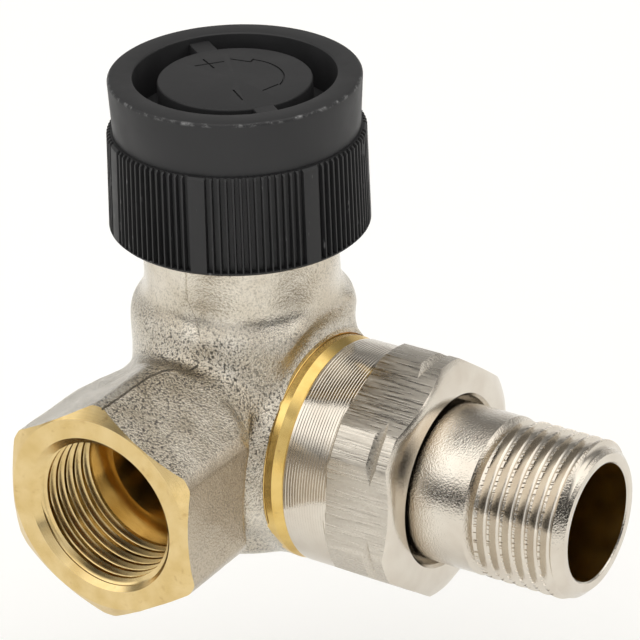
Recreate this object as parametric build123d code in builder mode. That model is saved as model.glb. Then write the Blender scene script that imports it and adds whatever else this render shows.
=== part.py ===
"""Angled radiator valve with protection cap, cartridge, union nut and tailpiece.

Frame: origin where the inlet thread starts, on its axis. -Y leaves the inlet, +X leaves
the outlet and +Z runs up the spindle. Lengths are in millimetres.
"""
import os
from math import cos, radians, sin, sqrt, tan

from build123d import *

os.makedirs("parts", exist_ok=True)

# Main layout
SPINDLE_Y = 33.2          # spindle axis behind the start of the inlet thread
OUTLET_Z = -2.7           # outlet axis below the inlet axis
COUNTERSINK = 0.6         # inlet face in front of the start of its thread
RUNNING_GAP = 0.05        # clearance of turning and sliding fits
SEATED_GAP = 0.03         # clearance of pieces that sit still in each other

# Half-inch pipe thread of inlet and tailpiece
PIPE_R = 10.48

# Forged body
NECK_R = 12.77
NECK_TOP = 29.0
SHOULDER_FOOT = 14.6
SHOULDER_R = 4.0
BULGE_STEP = 1.3          # bulge beyond the hexagon flats
BULGE_BOTTOM = -17.2
BULGE_ROUND = 6.5

# Inlet end
HEX_ACROSS = 27.0
HEX_EDGE_R = 0.8
HEX_FACE_TRIM = 0.2       # face circle inside the flats
HEX_TAPER = 2.0           # length to depth of the tapered corners behind the flats
INLET_NECK_TRIM = 0.05    # round neck inside the flats
INLET_NECK_LENGTH = 2.0   # between the hexagon and the front of the bulge
INLET_BLEND_R = 2.5
CHAMFER_DEG = 30.0
INLET_THREAD_LEN = 11.6
INLET_RELIEF_DEPTH = 0.42
INLET_RELIEF_LEN = 1.8
INLET_BORE_R = 7.8
INLET_BORE_WALL = 2.3     # between inlet bore and valve chamber
INLET_DUCT_R = 4.5
INLET_DUCT_CONE = 1.9

# Outlet end
BOSS_R = 15.0
BOSS_DRAFT = 0.8
BOSS_END = 12.35
HOLLOW_WALL = 1.3         # between the hollow round the boss and the chamber
HOLLOW_FLOOR = 2.0        # flat part of the hollow beside the boss
HOLLOW_SPREAD = 2.0       # how fast the hollow widens outwards
RING_CHAMFER = 1.1
RING_WIDTH = 1.3
RING_STEP = 0.98          # ring above the spigot thread
SPIGOT_R = 13.22          # three-quarter-inch pipe thread under the union nut
SPIGOT_LENGTH = 8.75
SPIGOT_CHAMFER = 0.6
SEAT_CONE_DEPTH = 2.7
OUTLET_BORE_START = 8.0
OUTLET_BORE_STEP = 0.15   # outlet bore wider than the tailpiece bore

# Valve chamber
SEAT_R = 5.0
SEAT_LIP_WIDTH = 1.2
SEAT_LIP_HEIGHT = 0.7
CHAMBER_FLOOR = 6.5
CHAMBER_STEP = 0.65       # chamber narrower than the cartridge bore
PORT_R = 3.0
PORT_WALL = 0.4           # between port and seat lip

# Cartridge
LIFT = 2.5                # travel of the spindle
HOUSING_R = 10.9
HOUSING_DEPTH = 14.0
HOUSING_SKIRT = 2.0
HOUSING_SKIRT_GAP = 0.5
COLLAR_R = 15.0           # 30 mm head thread
COLLAR_HEIGHT = 7.95
COLLAR_CHAMFER = 0.7
INSERT_RING_WIRE = 0.82
INSERT_RING_RISE = 2.1
CAVITY_R = 6.2
CAVITY_RISE = 1.45
BUSH_LENGTH = 3.0
BUSH_CHAMFER = 0.4
GLAND_R = 5.0
GLAND_DEPTH = 5.0
GLAND_HEX = 12.0
GLAND_HEAD = 2.25
GLAND_FACE_TRIM = 0.2     # face circle inside the flats
GLAND_RING_WIRE = 0.38
PACKING_R = 3.2
WASHER_THICK = 0.6
SPACER_THICK = 0.85
STEM_R = 2.4
PIN_R = 1.5
PIN_HEAD = 0.65
PIN_CHAMFER = 0.3
PIN_RISE = 0.65           # pin above the gland at full stroke
CLIP_THICK = 0.6
CLIP_DEPTH = 0.5
CLIP_WIDTH = 1.3
CLIP_MOUTH = 2.6
RETAINER_R = 5.6
RETAINER_DROP = 2.65
RETAINER_THICK = 1.0
SPRING_R = 4.4
SPRING_WIRE_R = 0.45
SPRING_TURNS = 5.5
SEAL_R = 6.4
SEAL_THICK = 1.8
CUP_WALL = 0.55
CUP_ROOF = 1.4
CUP_LIP = 0.7
SCREW_R = 1.5
SCREW_HEAD_R = 2.9
SCREW_HEAD = 1.1
SCREW_LENGTH = 7.6
SCREW_CHAMFER = 0.5
SCREW_TIP_GAP = 0.4       # left below the end of the tapped hole
SCREW_SLOT = 0.8
SCREW_SLOT_DEPTH = 0.6

# Cap
SKIRT_OVERLAP = 1.8       # skirt below the top of the neck
SKIRT_HEIGHT = 13.25
SKIRT_WALL = 1.58
SKIRT_DRAFT = 0.28
SKIRT_EDGE = 0.3
RING_HEIGHT = 7.25
RING_INSET = 0.41
RING_DRAFT = 0.37
RIM_EDGE = 0.4
WEB_THICK = 1.8
WEB_CLEAR = 0.5
SLOT_OUTER_R = 13.0
SLOT_WIDTH = 3.1
SLOT_EDGE = 0.25
DISC_RECESS = 0.75
BRIDGE_WIDTH = 2.8
BRIDGE_RECESS = 1.1
BRIDGE_DEG = 144.7
PIN_POCKET_GAP = 0.47
RIB_GROUPS = 7
GROOVES_IN_GROUP = 14
GROOVE_DEG = 3.2
GROOVE_HALF_WIDTH = 0.28
GROOVE_DEPTH = 0.35
FIRST_RIB_DEG = 285.75    # middle of one plain rib

# Union nut
NUT_WALL = 1.68
NUT_COLLAR_LENGTH = 6.95
NUT_HEX_LENGTH = 9.65
NUT_FLAT_STEP = 0.05      # flats above the collar
NUT_CORNER_TRIM = 1.2
NUT_CORNER_DEG = 23.75
NUT_NOTCH_BACK = 3.35
NUT_NOTCH_HALF = 0.75
NUT_NOTCH_RISE = 0.45
NUT_CHAMFER_LENGTH = 1.14
NUT_FACE_TRIM = 1.0
NUT_LIP = 4.4
NUT_EDGE = 0.4
NUT_MOUTH = 0.6
NUT_BORE_GAP = 0.77

# Tailpiece
TAIL_END = 52.8
TAIL_BORE_R = 7.85
TAIL_NOSE_WALL = 0.95
TAIL_NOSE_GAP = 0.2
TAIL_COLLAR_GAP = 0.67
TAIL_FACE_GAP = 0.1
TAIL_THREAD_LENGTH = 12.2
TAIL_GROOVE_DEPTH = 0.98
TAIL_GROOVE_WIDTH = 0.7
TAIL_GROOVE_RAMP = 0.8
TAIL_CHAMFER = 1.4
TAIL_BORE_EDGE = 0.2
TAIL_RING_WIRE = 0.75
TAIL_RING_PROUD = 0.1
LUG_HEIGHT = 1.3
LUG_WIDTH = 2.4
LUG_LENGTH = 8.0
LUG_SETBACK = 1.0

# Places that follow from the sizes
FACE_Y = -COUNTERSINK
BULGE_R = HEX_ACROSS / 2 + BULGE_STEP
HEX_END_Y = SPINDLE_Y - BULGE_R - INLET_NECK_LENGTH
HEX_LENGTH = HEX_END_Y - FACE_Y
HEX_CORNER_R = HEX_ACROSS / 2 / cos(radians(30))
INLET_FLAT_R = HEX_ACROSS / 2 - HEX_FACE_TRIM
INLET_NECK_R = HEX_ACROSS / 2 - INLET_NECK_TRIM
INLET_RELIEF_R = PIPE_R + INLET_RELIEF_DEPTH
INLET_RELIEF_END = INLET_THREAD_LEN + INLET_RELIEF_LEN
SHOULDER_TOP = SHOULDER_FOOT + sqrt(SHOULDER_R**2 - (NECK_R - BULGE_R + SHOULDER_R) ** 2)
BOSS_ROOT_R = BOSS_R - BOSS_DRAFT
RING_START = BOSS_END + RING_CHAMFER
RING_END = RING_START + RING_WIDTH
RING_R = SPIGOT_R + RING_STEP
SPIGOT_END = RING_END + SPIGOT_LENGTH
OUTLET_BORE_R = TAIL_BORE_R + OUTLET_BORE_STEP
SEAT_CONE_START = SPIGOT_END - SEAT_CONE_DEPTH
SEAT_CONE_R = TAIL_BORE_R + TAIL_NOSE_WALL
SEAT_TOP = CHAMBER_FLOOR + SEAT_LIP_HEIGHT
SEAT_LIP_R = SEAT_R + SEAT_LIP_WIDTH
PORT_X = SEAT_LIP_R + PORT_WALL + PORT_R
HOUSING_BOTTOM = NECK_TOP - HOUSING_DEPTH
CHAMBER_TOP = HOUSING_BOTTOM + HOUSING_SKIRT
INSERT_BORE_R = HOUSING_R + RUNNING_GAP
CHAMBER_R = INSERT_BORE_R - CHAMBER_STEP
HOLLOW_X = CHAMBER_R + HOLLOW_WALL
INLET_BORE_END = SPINDLE_Y - CHAMBER_R - INLET_BORE_WALL
INSERT_RING_Z = CHAMBER_TOP + INSERT_RING_RISE
INSERT_RING_R = INSERT_BORE_R - RUNNING_GAP - SEATED_GAP - INSERT_RING_WIRE
INSERT_GROOVE_R = INSERT_RING_R - INSERT_RING_WIRE - SEATED_GAP
INSERT_GROOVE_HALF = INSERT_RING_WIRE + RUNNING_GAP + SEATED_GAP
COLLAR_BOTTOM = NECK_TOP + RUNNING_GAP
COLLAR_TOP = COLLAR_BOTTOM + COLLAR_HEIGHT
CAVITY_TOP = COLLAR_BOTTOM + CAVITY_RISE
BUSH_TOP = HOUSING_BOTTOM + BUSH_LENGTH
GLAND_BOTTOM = COLLAR_TOP - GLAND_DEPTH
GLAND_SEAT = COLLAR_TOP + RUNNING_GAP
GLAND_TOP = GLAND_SEAT + GLAND_HEAD
GLAND_BORE_R = GLAND_R + SEATED_GAP
GLAND_FACE_R = GLAND_HEX / 2 - GLAND_FACE_TRIM
GLAND_CORNER_R = GLAND_HEX / 2 / cos(radians(30))
GLAND_RING_R = GLAND_R + 2 * SEATED_GAP + GLAND_RING_WIRE
GLAND_RECESS_R = GLAND_RING_R + GLAND_RING_WIRE + SEATED_GAP
GLAND_RECESS_Z = COLLAR_TOP - 2 * GLAND_RING_WIRE - SEATED_GAP
PIN_BORE_R = PIN_R + RUNNING_GAP
PIN_RING_WIRE = (PACKING_R - PIN_BORE_R) / 2 - 2 * SEATED_GAP
PIN_RING_R = (PACKING_R + PIN_BORE_R) / 2
WASHER_Z = GLAND_BOTTOM + SEATED_GAP
LOWER_RING_Z = WASHER_Z + WASHER_THICK + SEATED_GAP + PIN_RING_WIRE
SPACER_Z = LOWER_RING_Z + PIN_RING_WIRE + SEATED_GAP
UPPER_RING_Z = SPACER_Z + SPACER_THICK + SEATED_GAP + PIN_RING_WIRE
PACKING_TOP = UPPER_RING_Z + PIN_RING_WIRE + SEATED_GAP
STEM_TOP = GLAND_BOTTOM - PIN_HEAD - 2 * RUNNING_GAP
PIN_TOP = GLAND_TOP + LIFT + PIN_RISE
RETAINER_Z = STEM_TOP - RETAINER_DROP
CLIP_Z = RETAINER_Z + RETAINER_THICK + 2 * RUNNING_GAP
SEAL_Z = SEAT_TOP + LIFT + RUNNING_GAP
CUP_Z = SEAL_Z + SEAL_THICK + SEATED_GAP
CUP_TOP = CUP_Z + CUP_ROOF
CUP_R = SEAL_R + RUNNING_GAP + CUP_WALL
SCREW_BORE_R = SCREW_R + SEATED_GAP
SCREW_Z = SEAL_Z - SEATED_GAP - SCREW_HEAD
SPRING_LOW = BUSH_TOP + RUNNING_GAP + SPRING_WIRE_R
SPRING_HEIGHT = RETAINER_Z - RUNNING_GAP - SPRING_WIRE_R - SPRING_LOW
CAP_BORE_R = COLLAR_R + RUNNING_GAP
SKIRT_TOP_R = CAP_BORE_R + SKIRT_WALL
SKIRT_BOTTOM_R = SKIRT_TOP_R + SKIRT_DRAFT
SKIRT_BOTTOM = NECK_TOP - SKIRT_OVERLAP
SKIRT_TOP = SKIRT_BOTTOM + SKIRT_HEIGHT
CAP_R = SKIRT_TOP_R - RING_INSET
CAP_FOOT_R = CAP_R - RING_DRAFT
CAP_WEB_Z = COLLAR_TOP + LIFT + WEB_CLEAR
SLOT_FLOOR = CAP_WEB_Z + WEB_THICK
CAP_TOP = SKIRT_TOP + RING_HEIGHT
DISC_R = SLOT_OUTER_R - SLOT_WIDTH
DISC_TOP = CAP_TOP - DISC_RECESS
BRIDGE_TOP = CAP_TOP - BRIDGE_RECESS
PIN_POCKET_R = GLAND_HEX / 2 / cos(radians(30)) + PIN_POCKET_GAP
GROOVE_ROOT_R = SKIRT_TOP_R - GROOVE_DEPTH
NUT_START = RING_END + RUNNING_GAP
NUT_THREAD_R = SPIGOT_R + RUNNING_GAP
NUT_COLLAR_R = NUT_THREAD_R + NUT_WALL
NUT_FLAT_R = NUT_COLLAR_R + NUT_FLAT_STEP
NUT_CORNER_R = NUT_FLAT_R + NUT_CORNER_TRIM
NUT_NOTCH_R = NUT_FLAT_R + NUT_NOTCH_RISE
NUT_FACE_R = NUT_FLAT_R - NUT_FACE_TRIM
NUT_HEX_START = NUT_START + NUT_COLLAR_LENGTH
NUT_END = NUT_HEX_START + NUT_HEX_LENGTH
NUT_NOTCH_X = NUT_END - NUT_NOTCH_BACK
NUT_CHAMFER_X = NUT_END - NUT_CHAMFER_LENGTH
NUT_SHOULDER_X = NUT_END - NUT_LIP
NUT_BORE_R = PIPE_R + NUT_BORE_GAP
TAIL_NOSE_X = SEAT_CONE_START + TAIL_NOSE_GAP
TAIL_NOSE_LENGTH = SPIGOT_END - TAIL_NOSE_X - 1.5 * TAIL_NOSE_GAP
NOSE_R = SEAT_CONE_R
TAIL_COLLAR_START = SPIGOT_END + TAIL_FACE_GAP
TAIL_COLLAR_END = NUT_SHOULDER_X - RUNNING_GAP
TAIL_COLLAR_R = NUT_THREAD_R - TAIL_COLLAR_GAP
TAIL_THREAD_X = TAIL_END - TAIL_THREAD_LENGTH
TAIL_GROOVE_R = PIPE_R - TAIL_GROOVE_DEPTH
TAIL_GROOVE_X = TAIL_THREAD_X - TAIL_GROOVE_WIDTH
TAIL_RING_SINK = (TAIL_RING_WIRE - TAIL_RING_PROUD) * sin(radians(45))
TAIL_RING_X = TAIL_NOSE_X + TAIL_NOSE_LENGTH / 2 + TAIL_RING_SINK
TAIL_RING_R = NOSE_R + TAIL_NOSE_LENGTH / 2 - TAIL_RING_SINK

SPINDLE_PLANE = Plane.XZ.offset(-SPINDLE_Y)
SPINDLE_AXIS = Axis((0, SPINDLE_Y, 0), (0, 0, 1))
OUTLET_AXIS = Axis((0, SPINDLE_Y, OUTLET_Z), (1, 0, 0))
INLET_AXIS = Axis((0, 0, 0), (0, 1, 0))
OUTLET_PLANE = Plane((0, SPINDLE_Y, OUTLET_Z), x_dir=(1, 0, 0), z_dir=(0, -1, 0))
SLOPE = tan(radians(CHAMFER_DEG))

# Forged body: hexagon end, bulge with neck, outlet boss with ring and threaded spigot
with BuildPart() as valve_body:
    with BuildSketch(Plane.XZ.offset(-HEX_END_Y)):
        RegularPolygon(HEX_ACROSS / 2, 6, major_radius=False, rotation=90)
    extrude(amount=HEX_LENGTH)
    fillet(valve_body.edges().filter_by(Axis.Y), radius=HEX_EDGE_R)
    with BuildSketch(Plane.YZ):
        Polygon(
            (FACE_Y, INLET_FLAT_R),
            (FACE_Y, HEX_CORNER_R + 1),
            (FACE_Y + (HEX_CORNER_R + 1 - INLET_FLAT_R) * SLOPE, HEX_CORNER_R + 1),
            align=None,
        )
        Polygon(
            (HEX_END_Y, INLET_NECK_R),
            (HEX_END_Y, HEX_CORNER_R + 1),
            (HEX_END_Y - (HEX_CORNER_R + 1 - INLET_NECK_R) * HEX_TAPER, HEX_CORNER_R + 1),
            align=None,
        )
    revolve(axis=INLET_AXIS, mode=Mode.SUBTRACT)
    with BuildSketch(Plane.YZ):
        with Locations((HEX_END_Y - 4, 0)):
            Rectangle(SPINDLE_Y - HEX_END_Y + 4, INLET_NECK_R, align=(Align.MIN, Align.MIN))
    revolve(axis=INLET_AXIS)
    with BuildSketch(SPINDLE_PLANE):
        with BuildLine():
            Line((0, BULGE_BOTTOM), (BULGE_R - BULGE_ROUND, BULGE_BOTTOM))
            RadiusArc(
                (BULGE_R - BULGE_ROUND, BULGE_BOTTOM),
                (BULGE_R, BULGE_BOTTOM + BULGE_ROUND),
                -BULGE_ROUND,
            )
            Line((BULGE_R, BULGE_BOTTOM + BULGE_ROUND), (BULGE_R, SHOULDER_FOOT))
            RadiusArc((BULGE_R, SHOULDER_FOOT), (NECK_R, SHOULDER_TOP), -SHOULDER_R)
            Polyline(
                (NECK_R, SHOULDER_TOP),
                (NECK_R, NECK_TOP),
                (0, NECK_TOP),
                (0, BULGE_BOTTOM),
            )
        make_face()
    revolve(axis=SPINDLE_AXIS)
    crossing = valve_body.edges(Select.NEW)
    crossing = crossing - crossing.filter_by(GeomType.LINE) - crossing.filter_by(GeomType.CIRCLE)
    fillet(crossing, radius=INLET_BLEND_R)
    # Hollow round the boss, which leaves its ring clear of hexagon and bulge
    with BuildSketch(OUTLET_PLANE):
        Polygon(
            (HOLLOW_X, 0),
            (HOLLOW_X, BOSS_R + HOLLOW_FLOOR),
            (BULGE_R, BOSS_R + HOLLOW_FLOOR + (BULGE_R - HOLLOW_X) * HOLLOW_SPREAD),
            (BULGE_R + 1, BOSS_R + HOLLOW_FLOOR + (BULGE_R - HOLLOW_X) * HOLLOW_SPREAD),
            (BULGE_R + 1, 0),
            align=None,
        )
    revolve(axis=OUTLET_AXIS, mode=Mode.SUBTRACT)
    with BuildSketch(OUTLET_PLANE):
        Polygon(
            (0, 0),
            (0, BOSS_ROOT_R),
            (BOSS_END, BOSS_R),
            (RING_START, RING_R),
            (RING_END, RING_R),
            (RING_END, SPIGOT_R),
            (SPIGOT_END - SPIGOT_CHAMFER, SPIGOT_R),
            (SPIGOT_END, SPIGOT_R - SPIGOT_CHAMFER),
            (SPIGOT_END, 0),
            align=None,
        )
    revolve(axis=OUTLET_AXIS)
    # Inlet thread bore, relief, bore and duct to the seat
    with BuildSketch(Plane.YZ):
        Polygon(
            (FACE_Y, 0),
            (FACE_Y, PIPE_R + COUNTERSINK),
            (0, PIPE_R),
            (INLET_THREAD_LEN, PIPE_R),
            (INLET_THREAD_LEN, INLET_RELIEF_R),
            (INLET_RELIEF_END, INLET_RELIEF_R),
            (INLET_RELIEF_END, INLET_BORE_R),
            (INLET_BORE_END, INLET_BORE_R),
            (INLET_BORE_END + INLET_DUCT_CONE, INLET_DUCT_R),
            (SPINDLE_Y, INLET_DUCT_R),
            (SPINDLE_Y, 0),
            align=None,
        )
    revolve(axis=INLET_AXIS, mode=Mode.SUBTRACT)
    # Seat, chamber and the bore that takes the cartridge
    with BuildSketch(SPINDLE_PLANE):
        Polygon(
            (0, -SEAT_R),
            (SEAT_R, -SEAT_R),
            (SEAT_R, SEAT_TOP),
            (SEAT_LIP_R, SEAT_TOP),
            (SEAT_LIP_R, CHAMBER_FLOOR),
            (CHAMBER_R, CHAMBER_FLOOR),
            (CHAMBER_R, CHAMBER_TOP),
            (INSERT_BORE_R, CHAMBER_TOP + CHAMBER_STEP),
            (INSERT_BORE_R, NECK_TOP),
            (0, NECK_TOP),
            align=None,
        )
    revolve(axis=SPINDLE_AXIS, mode=Mode.SUBTRACT)
    with BuildSketch(OUTLET_PLANE):
        Polygon(
            (OUTLET_BORE_START, 0),
            (OUTLET_BORE_START, OUTLET_BORE_R),
            (SEAT_CONE_START, OUTLET_BORE_R),
            (SEAT_CONE_START, SEAT_CONE_R),
            (SPIGOT_END, SEAT_CONE_R + SPIGOT_END - SEAT_CONE_START),
            (SPIGOT_END, 0),
            align=None,
        )
    revolve(axis=OUTLET_AXIS, mode=Mode.SUBTRACT)
    with BuildSketch(Plane.XY.offset(OUTLET_Z)):
        with Locations((PORT_X, SPINDLE_Y)):
            Circle(PORT_R)
    extrude(amount=SEAT_TOP + SEAT_LIP_WIDTH - OUTLET_Z, mode=Mode.SUBTRACT)
valve_body.part.label = "valve_body"
export_step(valve_body.part, "parts/valve_body.step")

# Cartridge housing with the head thread on its collar
with BuildPart() as insert_housing:
    with BuildSketch(SPINDLE_PLANE):
        Polygon(
            (CAVITY_R, HOUSING_BOTTOM),
            (CHAMBER_R - HOUSING_SKIRT_GAP, HOUSING_BOTTOM),
            (CHAMBER_R - HOUSING_SKIRT_GAP, CHAMBER_TOP),
            (HOUSING_R, CHAMBER_TOP + CHAMBER_STEP + 2 * RUNNING_GAP),
            (HOUSING_R, INSERT_RING_Z - INSERT_GROOVE_HALF),
            (INSERT_GROOVE_R, INSERT_RING_Z - INSERT_GROOVE_HALF),
            (INSERT_GROOVE_R, INSERT_RING_Z + INSERT_GROOVE_HALF),
            (HOUSING_R, INSERT_RING_Z + INSERT_GROOVE_HALF),
            (HOUSING_R, COLLAR_BOTTOM),
            (COLLAR_R - COLLAR_CHAMFER, COLLAR_BOTTOM),
            (COLLAR_R, COLLAR_BOTTOM + COLLAR_CHAMFER),
            (COLLAR_R, COLLAR_TOP - COLLAR_CHAMFER),
            (COLLAR_R - COLLAR_CHAMFER, COLLAR_TOP),
            (GLAND_RECESS_R, COLLAR_TOP),
            (GLAND_RECESS_R, GLAND_RECESS_Z),
            (GLAND_BORE_R, GLAND_RECESS_Z),
            (GLAND_BORE_R, CAVITY_TOP),
            (CAVITY_R, CAVITY_TOP),
            align=None,
        )
    revolve(axis=SPINDLE_AXIS)
insert_housing.part.label = "insert_housing"
export_step(insert_housing.part, "parts/insert_housing.step")

# Seal between cartridge and body
with BuildPart() as insert_o_ring:
    with BuildSketch(SPINDLE_PLANE):
        with Locations((INSERT_RING_R, INSERT_RING_Z)):
            Circle(INSERT_RING_WIRE)
    revolve(axis=SPINDLE_AXIS)
insert_o_ring.part.label = "insert_o_ring"
export_step(insert_o_ring.part, "parts/insert_o_ring.step")

# Guide pressed into the foot of the cartridge, carrying the spring
with BuildPart() as guide_bush:
    with BuildSketch(SPINDLE_PLANE):
        Polygon(
            (STEM_R + RUNNING_GAP, HOUSING_BOTTOM + BUSH_CHAMFER),
            (STEM_R + RUNNING_GAP + BUSH_CHAMFER, HOUSING_BOTTOM),
            (CAVITY_R - SEATED_GAP, HOUSING_BOTTOM),
            (CAVITY_R - SEATED_GAP, BUSH_TOP),
            (STEM_R + RUNNING_GAP, BUSH_TOP),
            align=None,
        )
    revolve(axis=SPINDLE_AXIS)
guide_bush.part.label = "guide_bush"
export_step(guide_bush.part, "parts/guide_bush.step")

# Gland screwed into the top of the cartridge
with BuildPart() as gland_nut:
    with BuildSketch(Plane.XY.offset(GLAND_SEAT)):
        with Locations((0, SPINDLE_Y)):
            RegularPolygon(GLAND_HEX / 2, 6, major_radius=False)
    extrude(amount=GLAND_HEAD)
    with BuildSketch(SPINDLE_PLANE):
        Polygon(
            (GLAND_FACE_R, GLAND_TOP),
            (GLAND_CORNER_R + 1, GLAND_TOP),
            (GLAND_CORNER_R + 1, GLAND_TOP - (GLAND_CORNER_R + 1 - GLAND_FACE_R) * SLOPE),
            align=None,
        )
    revolve(axis=SPINDLE_AXIS, mode=Mode.SUBTRACT)
    with BuildSketch(SPINDLE_PLANE):
        with Locations((0, GLAND_BOTTOM)):
            Rectangle(GLAND_R, GLAND_SEAT - GLAND_BOTTOM, align=(Align.MIN, Align.MIN))
    revolve(axis=SPINDLE_AXIS)
    with BuildSketch(SPINDLE_PLANE):
        Polygon(
            (0, GLAND_BOTTOM),
            (PACKING_R, GLAND_BOTTOM),
            (PACKING_R, PACKING_TOP),
            (PIN_BORE_R, PACKING_TOP),
            (PIN_BORE_R, GLAND_TOP),
            (0, GLAND_TOP),
            align=None,
        )
    revolve(axis=SPINDLE_AXIS, mode=Mode.SUBTRACT)
gland_nut.part.label = "gland_nut"
export_step(gland_nut.part, "parts/gland_nut.step")

# Seal under the gland head
with BuildPart() as gland_o_ring:
    with BuildSketch(SPINDLE_PLANE):
        with Locations((GLAND_RING_R, COLLAR_TOP - GLAND_RING_WIRE)):
            Circle(GLAND_RING_WIRE)
    revolve(axis=SPINDLE_AXIS)
gland_o_ring.part.label = "gland_o_ring"
export_step(gland_o_ring.part, "parts/gland_o_ring.step")

# Washer that holds the packing in the gland
with BuildPart() as gland_washer:
    with BuildSketch(Plane.XY.offset(WASHER_Z)):
        with Locations((0, SPINDLE_Y)):
            Circle(PACKING_R - SEATED_GAP)
            Circle(PIN_BORE_R, mode=Mode.SUBTRACT)
    extrude(amount=WASHER_THICK)
gland_washer.part.label = "gland_washer"
export_step(gland_washer.part, "parts/gland_washer.step")

# Lower pin seal
with BuildPart() as pin_o_ring_lower:
    with BuildSketch(SPINDLE_PLANE):
        with Locations((PIN_RING_R, LOWER_RING_Z)):
            Circle(PIN_RING_WIRE)
    revolve(axis=SPINDLE_AXIS)
pin_o_ring_lower.part.label = "pin_o_ring_lower"
export_step(pin_o_ring_lower.part, "parts/pin_o_ring_lower.step")

# Spacer between the pin seals
with BuildPart() as gland_bush:
    with BuildSketch(Plane.XY.offset(SPACER_Z)):
        with Locations((0, SPINDLE_Y)):
            Circle(PACKING_R - SEATED_GAP)
            Circle(PIN_BORE_R, mode=Mode.SUBTRACT)
    extrude(amount=SPACER_THICK)
gland_bush.part.label = "gland_bush"
export_step(gland_bush.part, "parts/gland_bush.step")

# Upper pin seal
with BuildPart() as pin_o_ring_upper:
    with BuildSketch(SPINDLE_PLANE):
        with Locations((PIN_RING_R, UPPER_RING_Z)):
            Circle(PIN_RING_WIRE)
    revolve(axis=SPINDLE_AXIS)
pin_o_ring_upper.part.label = "pin_o_ring_upper"
export_step(pin_o_ring_upper.part, "parts/pin_o_ring_upper.step")

# Pin that the cap presses on
with BuildPart() as actuating_pin:
    with BuildSketch(SPINDLE_PLANE):
        Polygon(
            (0, STEM_TOP),
            (STEM_R, STEM_TOP),
            (STEM_R, STEM_TOP + PIN_HEAD),
            (PIN_R, STEM_TOP + PIN_HEAD),
            (PIN_R, PIN_TOP - PIN_CHAMFER),
            (PIN_R - PIN_CHAMFER, PIN_TOP),
            (0, PIN_TOP),
            align=None,
        )
    revolve(axis=SPINDLE_AXIS)
actuating_pin.part.label = "actuating_pin"
export_step(actuating_pin.part, "parts/actuating_pin.step")

# Stem with a clip groove at its head and a tapped hole at its foot
with BuildPart() as valve_stem:
    with BuildSketch(SPINDLE_PLANE):
        Polygon(
            (0, SEAL_Z + SCREW_LENGTH + SCREW_TIP_GAP),
            (SCREW_BORE_R, SEAL_Z + SCREW_LENGTH + SCREW_TIP_GAP),
            (SCREW_BORE_R, CUP_TOP + RUNNING_GAP),
            (STEM_R, CUP_TOP + RUNNING_GAP),
            (STEM_R, CLIP_Z - RUNNING_GAP),
            (STEM_R - CLIP_DEPTH, CLIP_Z - RUNNING_GAP),
            (STEM_R - CLIP_DEPTH, CLIP_Z + CLIP_THICK + RUNNING_GAP),
            (STEM_R, CLIP_Z + CLIP_THICK + RUNNING_GAP),
            (STEM_R, STEM_TOP),
            (0, STEM_TOP),
            align=None,
        )
    revolve(axis=SPINDLE_AXIS)
valve_stem.part.label = "valve_stem"
export_step(valve_stem.part, "parts/valve_stem.step")

# Upper spring seat on the stem
with BuildPart() as spring_retainer:
    with BuildSketch(Plane.XY.offset(RETAINER_Z)):
        with Locations((0, SPINDLE_Y)):
            Circle(RETAINER_R)
            Circle(STEM_R + SEATED_GAP, mode=Mode.SUBTRACT)
    extrude(amount=RETAINER_THICK)
spring_retainer.part.label = "spring_retainer"
export_step(spring_retainer.part, "parts/spring_retainer.step")

# Open clip in the stem groove
with BuildPart() as retaining_clip:
    with BuildSketch(Plane.XY.offset(CLIP_Z)):
        with Locations((0, SPINDLE_Y)):
            Circle(STEM_R + CLIP_WIDTH)
            Circle(STEM_R - CLIP_DEPTH + SEATED_GAP, mode=Mode.SUBTRACT)
        with Locations((0, SPINDLE_Y + STEM_R)):
            Rectangle(CLIP_MOUTH, 2.6 * CLIP_WIDTH, mode=Mode.SUBTRACT)
    extrude(amount=CLIP_THICK)
retaining_clip.part.label = "retaining_clip"
export_step(retaining_clip.part, "parts/retaining_clip.step")

# Spring that lifts the stem
with BuildPart() as return_spring:
    with BuildLine():
        coil = Helix(
            pitch=SPRING_HEIGHT / SPRING_TURNS,
            height=SPRING_HEIGHT,
            radius=SPRING_R,
            center=(0, SPINDLE_Y, SPRING_LOW),
        )
    with BuildSketch(Plane(coil @ 0, z_dir=coil % 0)):
        Circle(SPRING_WIRE_R)
    sweep(is_frenet=True)
return_spring.part.label = "return_spring"
export_step(return_spring.part, "parts/return_spring.step")

# Cup that carries the seat seal
with BuildPart() as disc_holder:
    with BuildSketch(SPINDLE_PLANE):
        Polygon(
            (SCREW_BORE_R, CUP_Z),
            (SEAL_R + RUNNING_GAP, CUP_Z),
            (SEAL_R + RUNNING_GAP, SEAL_Z + CUP_LIP),
            (CUP_R, SEAL_Z + CUP_LIP),
            (CUP_R, CUP_TOP - CUP_WALL),
            (CUP_R - CUP_ROOF, CUP_TOP),
            (SCREW_BORE_R, CUP_TOP),
            align=None,
        )
    revolve(axis=SPINDLE_AXIS)
disc_holder.part.label = "disc_holder"
export_step(disc_holder.part, "parts/disc_holder.step")

# Seat seal
with BuildPart() as disc_seal:
    with BuildSketch(Plane.XY.offset(SEAL_Z)):
        with Locations((0, SPINDLE_Y)):
            Circle(SEAL_R)
            Circle(SCREW_BORE_R, mode=Mode.SUBTRACT)
    extrude(amount=SEAL_THICK)
disc_seal.part.label = "disc_seal"
export_step(disc_seal.part, "parts/disc_seal.step")

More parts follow.
